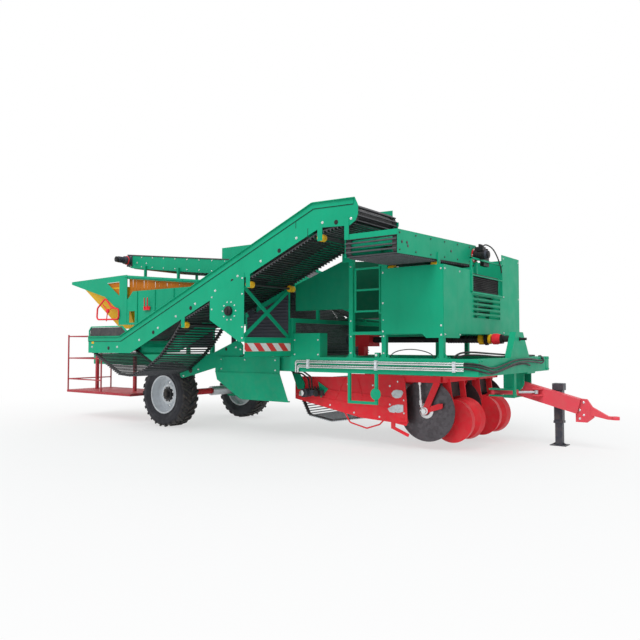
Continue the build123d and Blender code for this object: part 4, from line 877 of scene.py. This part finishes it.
bright.lathe(((40, 0), (40, 6), (30, 9), (0, 9)), (2745, 30, 660), RIGHT, 24)
bright.piece("digging_fittings", DIG, [steel])

COULTER_X, COULTER_Z = 4530, 500
hub = Shape()
hub.lathe(((98, 0), (98, 6), (84, 13), (64, 16), (62, 21)), (COULTER_X, 329, COULTER_Z),
          RIGHT, 32)
for along, lift in circle(80, 6):
    hub.bolt((COULTER_X + along, 317, COULTER_Z + lift), RIGHT, 6)
hub.piece("coulter_hub", "right_coulter", [steel])

# a green gusset, and the web motor's ports with two bent pipes
motor = Shape()
motor.plate(((2903, 819), (3078, 720), (2947, 592)), 204, 8)
motor.finish = 1
for x in (2800, 2850, 2900, 2950):
    motor.lathe(((17, 0), (17, 30), (11, 34), (11, 56), (0, 56)), (x, 150, 700), (0, -0.3, 1), 12)
motor.lathe(((44, 0), (44, 60), (30, 66), (0, 66)), (2960, 130, 662), RIGHT, 20)
motor.hose(((2800, 133, 752), (2800, 120, 860), (2700, 90, 930), (2560, 60, 940)), 12, 60)
motor.hose(((2850, 133, 752), (2856, 112, 880), (2740, 70, 966), (2560, 30, 962)), 12, 60)
motor.piece("digging_motor_fittings", DIG, [green, black], edges=1)

# ---- hopper: flaps behind its windows, ribs and levers ----

HOPPER_REAR, HOPPER_FRONT = -1240, 700


def hopper_rim(x):
    """The height of the hopper's right rim, which falls to the front."""
    return 2560 - (x - HOPPER_REAR) * 0.103


FLAP_PITCH, FLAP_WIDTH = 102, 96
flaps = Shape()
for step in range(17):
    near = -1175 + step * FLAP_PITCH
    far = near + FLAP_WIDTH
    top = hopper_rim(near) - 30
    low = 2130
    sway = 8 * sin(step * 2.1)
    flaps.rings([[(near, 40 + sway, top), (far, 40 - sway, top), (far, 44 - sway, top),
                  (near, 44 + sway, top)],
                 [(near, 52 - sway, low), (far, 52 + sway, low), (far, 56 + sway, low),
                  (near, 56 - sway, low)]])
flaps.piece("hopper_flaps", "chassis", [orange], edges=1)

hopper_ribs = Shape()
for x in (-900, -420, 60, 540):
    hopper_ribs.box((x - 18, x + 18), (-14, 0), (1700, 2268))
hopper_ribs.plate(((HOPPER_REAR, 2572), (HOPPER_FRONT, 2372), (HOPPER_FRONT, 2336),
                   (HOPPER_REAR, 2536)), -16, 16)
hopper_ribs.box((HOPPER_REAR, HOPPER_FRONT), (-12, 0), (1690, 1722))
for x in (-1150, -700, -200, 300, 650):
    hopper_ribs.bolt((x, -16, hopper_rim(x) - 6), RIGHT, 7)
hopper_ribs.piece("hopper_ribs", "chassis", [green], edges=2)

# two levers on the hopper's side, and the three spokes of the crank on its ring
CRANK_X, CRANK_Z = -1720, 1950
levers = Shape()
for x in (-640, -560):
    levers.tube((x, -40, 1960), (x + 20, -60, 2140), 9)
    levers.tube((x, -6, 1960), (x, -40, 1960), 14)
levers.box((-680, -520), (-34, -14), (1930, 1990))
centre = Vector((CRANK_X, -22, CRANK_Z))
for angle in (20, 140, 260):
    way = Vector((cos(radians(angle)), 0, sin(radians(angle))))
    levers.tube(centre, centre + way * 190, 9)
levers.lathe(((40, 0), (40, 26), (24, 34), (0, 34)), (CRANK_X, -6, CRANK_Z), RIGHT, 20)
levers.piece("hopper_levers", "chassis", [red], edges=1)

# ---- upper conveyor: bolts, motor and its end plate ----

upper_fit = Shape()
for step in range(9):
    x = 800 - step * 310
    upper_fit.bolt((x, TABLE_RIGHT, upper_low(x) + 215), RIGHT, 8)
    upper_fit.bolt((x, TABLE_RIGHT, upper_low(x) + 40), RIGHT, 8)
for x in (-1710, -1500, -1230):
    upper_fit.bolt((x, TABLE_RIGHT, upper_low(max(x, -1600)) + 110), RIGHT, 10)
upper_fit.piece("upper_conveyor_bolts", "chassis", [steel])

UPPER_DRUM = (-1710, 2914)


def on_drum(out):
    """A point of the drum's axis, so far to the right of the conveyor's wall."""
    return (UPPER_DRUM[0], TABLE_RIGHT - out, UPPER_DRUM[1])


upper_drive = Shape()
upper_drive.box((-1804, -1640), (TABLE_RIGHT - 8, TABLE_RIGHT), (2806, 3012))
upper_drive.lathe(((74, 0), (74, 50), (50, 62), (50, 190), (40, 200), (0, 200)), on_drum(90),
                  RIGHT, 28)
for step in range(7):
    upper_drive.lathe(((58, 0), (58, 6)), on_drum(160 + step * 17), RIGHT, 28)
upper_drive.finish = 1
upper_drive.lathe(((84, 0), (84, 14)), on_drum(78), RIGHT, 28)
upper_drive.finish = 2
upper_drive.lathe(((52, 0), (52, 24), (36, 30), (0, 30)), on_drum(290), RIGHT, 24)
upper_drive.piece("upper_conveyor_drive", "chassis", [dark, red, black], edges=1)

seal = Shape()
seal.plate(((940, 2733), (-1790, 3039), (-1790, 3020), (940, 2714)), TABLE_RIGHT - 8, 8)
seal.piece("upper_conveyor_seal", "chassis", [web_rubber], edges=1)

# ---- bolts, stops and folds of the arm, the skirt and the drawbar ----

ARM_RIGHT, SKIRT_RIGHT = -206, -226
plate_bolts = Shape()
for x, z in ((560, 850), (900, 960), (1380, 1090), (1530, 1110), (1700, 1300), (1790, 1270)):
    plate_bolts.bolt((x, ARM_RIGHT, z), RIGHT, 10)
for x, z in ((1420, 1120), (1420, 980), (1900, 1120), (2480, 1120), (2480, 980)):
    plate_bolts.bolt((x, SKIRT_RIGHT, z), RIGHT, 8)
plate_bolts.piece("arm_and_skirt_bolts", "chassis", [steel])

stops = Shape()
stops.lathe(((44, 0), (44, 2), (0, 2)), (720, ARM_RIGHT, 940), RIGHT, 24)
stops.lathe(((24, 0), (24, 3), (0, 3)), (1500, ARM_RIGHT, 1270), RIGHT, 24)
stops.piece("arm_rubber_stops", "chassis", [black], edges=0.5)

edge_strip = Shape()
edge_strip.box((1296, 2556), (-236, SKIRT_RIGHT), (924, 936))
edge_strip.plate(((1296, 930), (1350, 930), (1480, 1150), (1440, 1150)), -231, 5)
edge_strip.piece("skirt_folds", "chassis", [green], edges=2)

bar_fit = Shape()
for x, z in ((6050, 600), (6110, 600), (6060, 500), (6110, 440), (6060, 390)):
    bar_fit.bolt((x, 1580, z), RIGHT, 10)
for x, z in ((5290, 800), (5290, 700), (5330, 760)):
    bar_fit.bolt((x, 1530, z), RIGHT, 12)
bar_fit.piece("drawbar_bolts", "drawbar", [steel])

# ---- jack: body on the drawbar, leg that slides in it ----

JACK = (5750, 1770)
jack = Shape()
for x, y, z in (((-55, 55), (-55, 55), (300, 770)), ((-72, 72), (-66, 66), (730, 822)),
                ((-62, 62), (-62, 62), (296, 330)), ((-40, 40), (-100, -50), (600, 720))):
    jack.box([JACK[0] + a for a in x], [JACK[1] + a for a in y], z)
jack.finish = 1
jack.lathe(((20, 0), (20, 50), (0, 50)), (JACK[0], JACK[1] - 55, 560), RIGHT, 16)
jack.piece("jack_body", "drawbar", [dark, red], ("jack_tube",), edges=4)

leg = Shape()
leg.box([JACK[0] + a for a in (-46, 46)], [JACK[1] + a for a in (-46, 46)], (10, 470))
leg.box([JACK[0] + a for a in (-105, 105)], [JACK[1] + a for a in (-95, 95)], (0, 12))
for way in (-1, 1):
    leg.prism(((46, 12), (100, 12), (46, 44)),
              lambda a, b, y, side=way: (JACK[0] + side * a, y, b), JACK[1] - 6, 12)
leg.piece("jack_foot", "jack", [dark], ("jack_leg",), edges=3)

# ---- hoses ----


def hose_cord(name, points, diameter):
    """A free hydraulic hose between two fittings, on one smooth curve."""
    curve = bpy.data.curves.new(name, "CURVE")
    curve.dimensions = "3D"
    spline = curve.splines.new("NURBS")
    spline.points.add(len(points) - 1)
    for point, spot in zip(spline.points, points):
        point.co = (*at(*spot), 1)
    spline.order_u = 3
    spline.use_endpoint_u = True
    curve.resolution_u = 10
    curve.bevel_depth = diameter / 2
    curve.bevel_resolution = 3
    curve.use_fill_caps = True
    curve.materials.append(hose_rubber)
    thing = bpy.data.objects.new(name, curve)
    bpy.context.scene.collection.objects.link(thing)
    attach(thing, "chassis")


# name, diameter and length in metres, and the points that lead the curve
HOSES = (
    ("front_hose_a", 0.022, 2.50, (
        (5280, -196, 1120), (5400, -197, 1120), (5490, -150, 1095), (5480, 150, 1050),
        (5470, 500, 1085), (5466, 900, 1140), (5464, 1300, 1152), (5464, 1700, 1135),
        (5466, 1960, 1110), (5466, 2060, 1150), (5400, 2090, 1182))),
    ("front_hose_b", 0.022, 2.50, (
        (5280, -206, 1097), (5410, -208, 1094), (5520, -150, 1062), (5506, 150, 1012),
        (5494, 500, 1052), (5490, 900, 1110), (5488, 1300, 1122), (5488, 1700, 1100),
        (5490, 1900, 1075), (5490, 2010, 1130), (5400, 2030, 1182))),
    ("front_hose_c", 0.022, 1.87, (
        (5280, -196, 1058), (5410, -197, 1052), (5500, -140, 1018), (5470, 150, 990),
        (5466, 500, 1030), (5464, 900, 1080), (5464, 1250, 1092), (5466, 1400, 1080),
        (5456, 1500, 1060))),
    ("beam_hose", 0.012, 0.68, (
        (4267, -120, 1171), (4276, -120, 1212), (4370, -120, 1262), (4560, -120, 1284),
        (4750, -120, 1258), (4860, -120, 1212), (4872, -120, 1171))),
    ("motor_hose", 0.018, 0.90, (
        (5060, 885, 2566), (5066, 890, 2618), (5078, 980, 2650), (5084, 1200, 2620),
        (5072, 1400, 2510), (5050, 1560, 2400), (5024, 1652, 2330))),
    ("top_hose_a", 0.022, 2.24, (
        (5120, -120, 1182), (5150, -100, 1232), (5240, 60, 1250), (5318, 350, 1232),
        (5322, 700, 1218), (5322, 1100, 1202), (5322, 1500, 1198), (5322, 1850, 1190),
        (5330, 2060, 1184))),
    ("top_hose_b", 0.022, 2.06, (
        (5160, -120, 1182), (5190, -70, 1208), (5260, 80, 1216), (5330, 330, 1204),
        (5346, 560, 1190), (5340, 800, 1184), (5330, 1300, 1184), (5336, 1700, 1186),
        (5345, 1900, 1182))),
)
for name, diameter, length, points in HOSES:
    hose_cord(name, points, diameter)

# ---- light, floor and camera ----

scene = bpy.context.scene
scene.view_settings.view_transform = "Standard"

world = bpy.data.worlds.new("studio")
scene.world = world
world.use_nodes = True
tree = world.node_tree
tree.nodes.clear()


def seen(tree):
    """1 for rays from the camera, reflections and glass."""
    path = new_node(tree, "LightPath")
    total = path.outputs["Is Camera Ray"]
    for name in ("Is Glossy Ray", "Is Transmission Ray"):
        node = new_node(tree, "Math")
        node.operation = "MAXIMUM"
        tree.links.new(total, node.inputs[0])
        tree.links.new(path.outputs[name], node.inputs[1])
        total = node.outputs[0]
    return total


def blend(tree, output, share, first, second):
    """Joins two shaders by a share and sends them to the output."""
    mixed = new_node(tree, "MixShader")
    tree.links.new(share, mixed.inputs[0])
    tree.links.new(first.outputs[0], mixed.inputs[1])
    tree.links.new(second.outputs[0], mixed.inputs[2])
    tree.links.new(mixed.outputs[0], new_node(tree, output).inputs[0])


# the world is soft for the light and plain white to see
soft = new_node(tree, "Background", Color=(0.96, 0.98, 1.0, 1), Strength=0.72)
plain = new_node(tree, "Background", Color=(1, 1, 1, 1), Strength=1.0)
blend(tree, "OutputWorld", seen(tree), soft, plain)

key = bpy.data.lights.new("key", "SUN")
key.energy = 1.5
key.angle = radians(35)
key_lamp = bpy.data.objects.new("key", key)
key_lamp.rotation_euler = Vector((-0.15, 0.62, -0.78)).to_track_quat("-Z", "Y").to_euler()
scene.collection.objects.link(key_lamp)

# the floor takes shadows near the machine and fades to white further out
floor_mesh = bpy.data.meshes.new("floor")
reach = 60
corners = [(-reach, -reach, 0), (reach, -reach, 0), (reach, reach, 0), (-reach, reach, 0)]
floor_mesh.from_pydata(corners, [], [(0, 1, 2, 3)])
floor = bpy.data.objects.new("floor", floor_mesh)
scene.collection.objects.link(floor)
ground = bpy.data.materials.new("floor")
ground.use_nodes = True
tree = ground.node_tree
tree.nodes.clear()
pale = new_node(tree, "BsdfDiffuse", Color=(0.82, 0.82, 0.82, 1))
glow = new_node(tree, "Emission", Color=(1, 1, 1, 1))
away = new_node(tree, "VectorMath")
away.operation = "LENGTH"
tree.links.new(new_node(tree, "TexCoord").outputs["Object"], away.inputs[0])
FADE = {"From Min": 3.5, "From Max": 9.0, "To Min": 0.6, "To Max": 1.0}
fade = new_node(tree, "MapRange", **FADE)
tree.links.new(away.outputs["Value"], fade.inputs["Value"])
share = new_node(tree, "Math")
share.operation = "MULTIPLY"
tree.links.new(fade.outputs[0], share.inputs[1])
tree.links.new(seen(tree), share.inputs[0])
blend(tree, "OutputMaterial", share.outputs[0], pale, glow)
floor_mesh.materials.append(ground)

# the camera stands low on the right of the front, looking back and a little up
camera = bpy.data.cameras.new("camera")
camera.lens = 36
camera.sensor_width = 36
camera.clip_end = 200
eye = bpy.data.objects.new("camera", camera)
eye.location = (6.525, -7.589, 1.331)
pitch = radians(2.24)
gaze = Vector((-0.6 * cos(pitch), 0.8 * cos(pitch), sin(pitch)))
eye.rotation_euler = gaze.to_track_quat("-Z", "Y").to_euler()
scene.collection.objects.link(eye)
scene.camera = eye
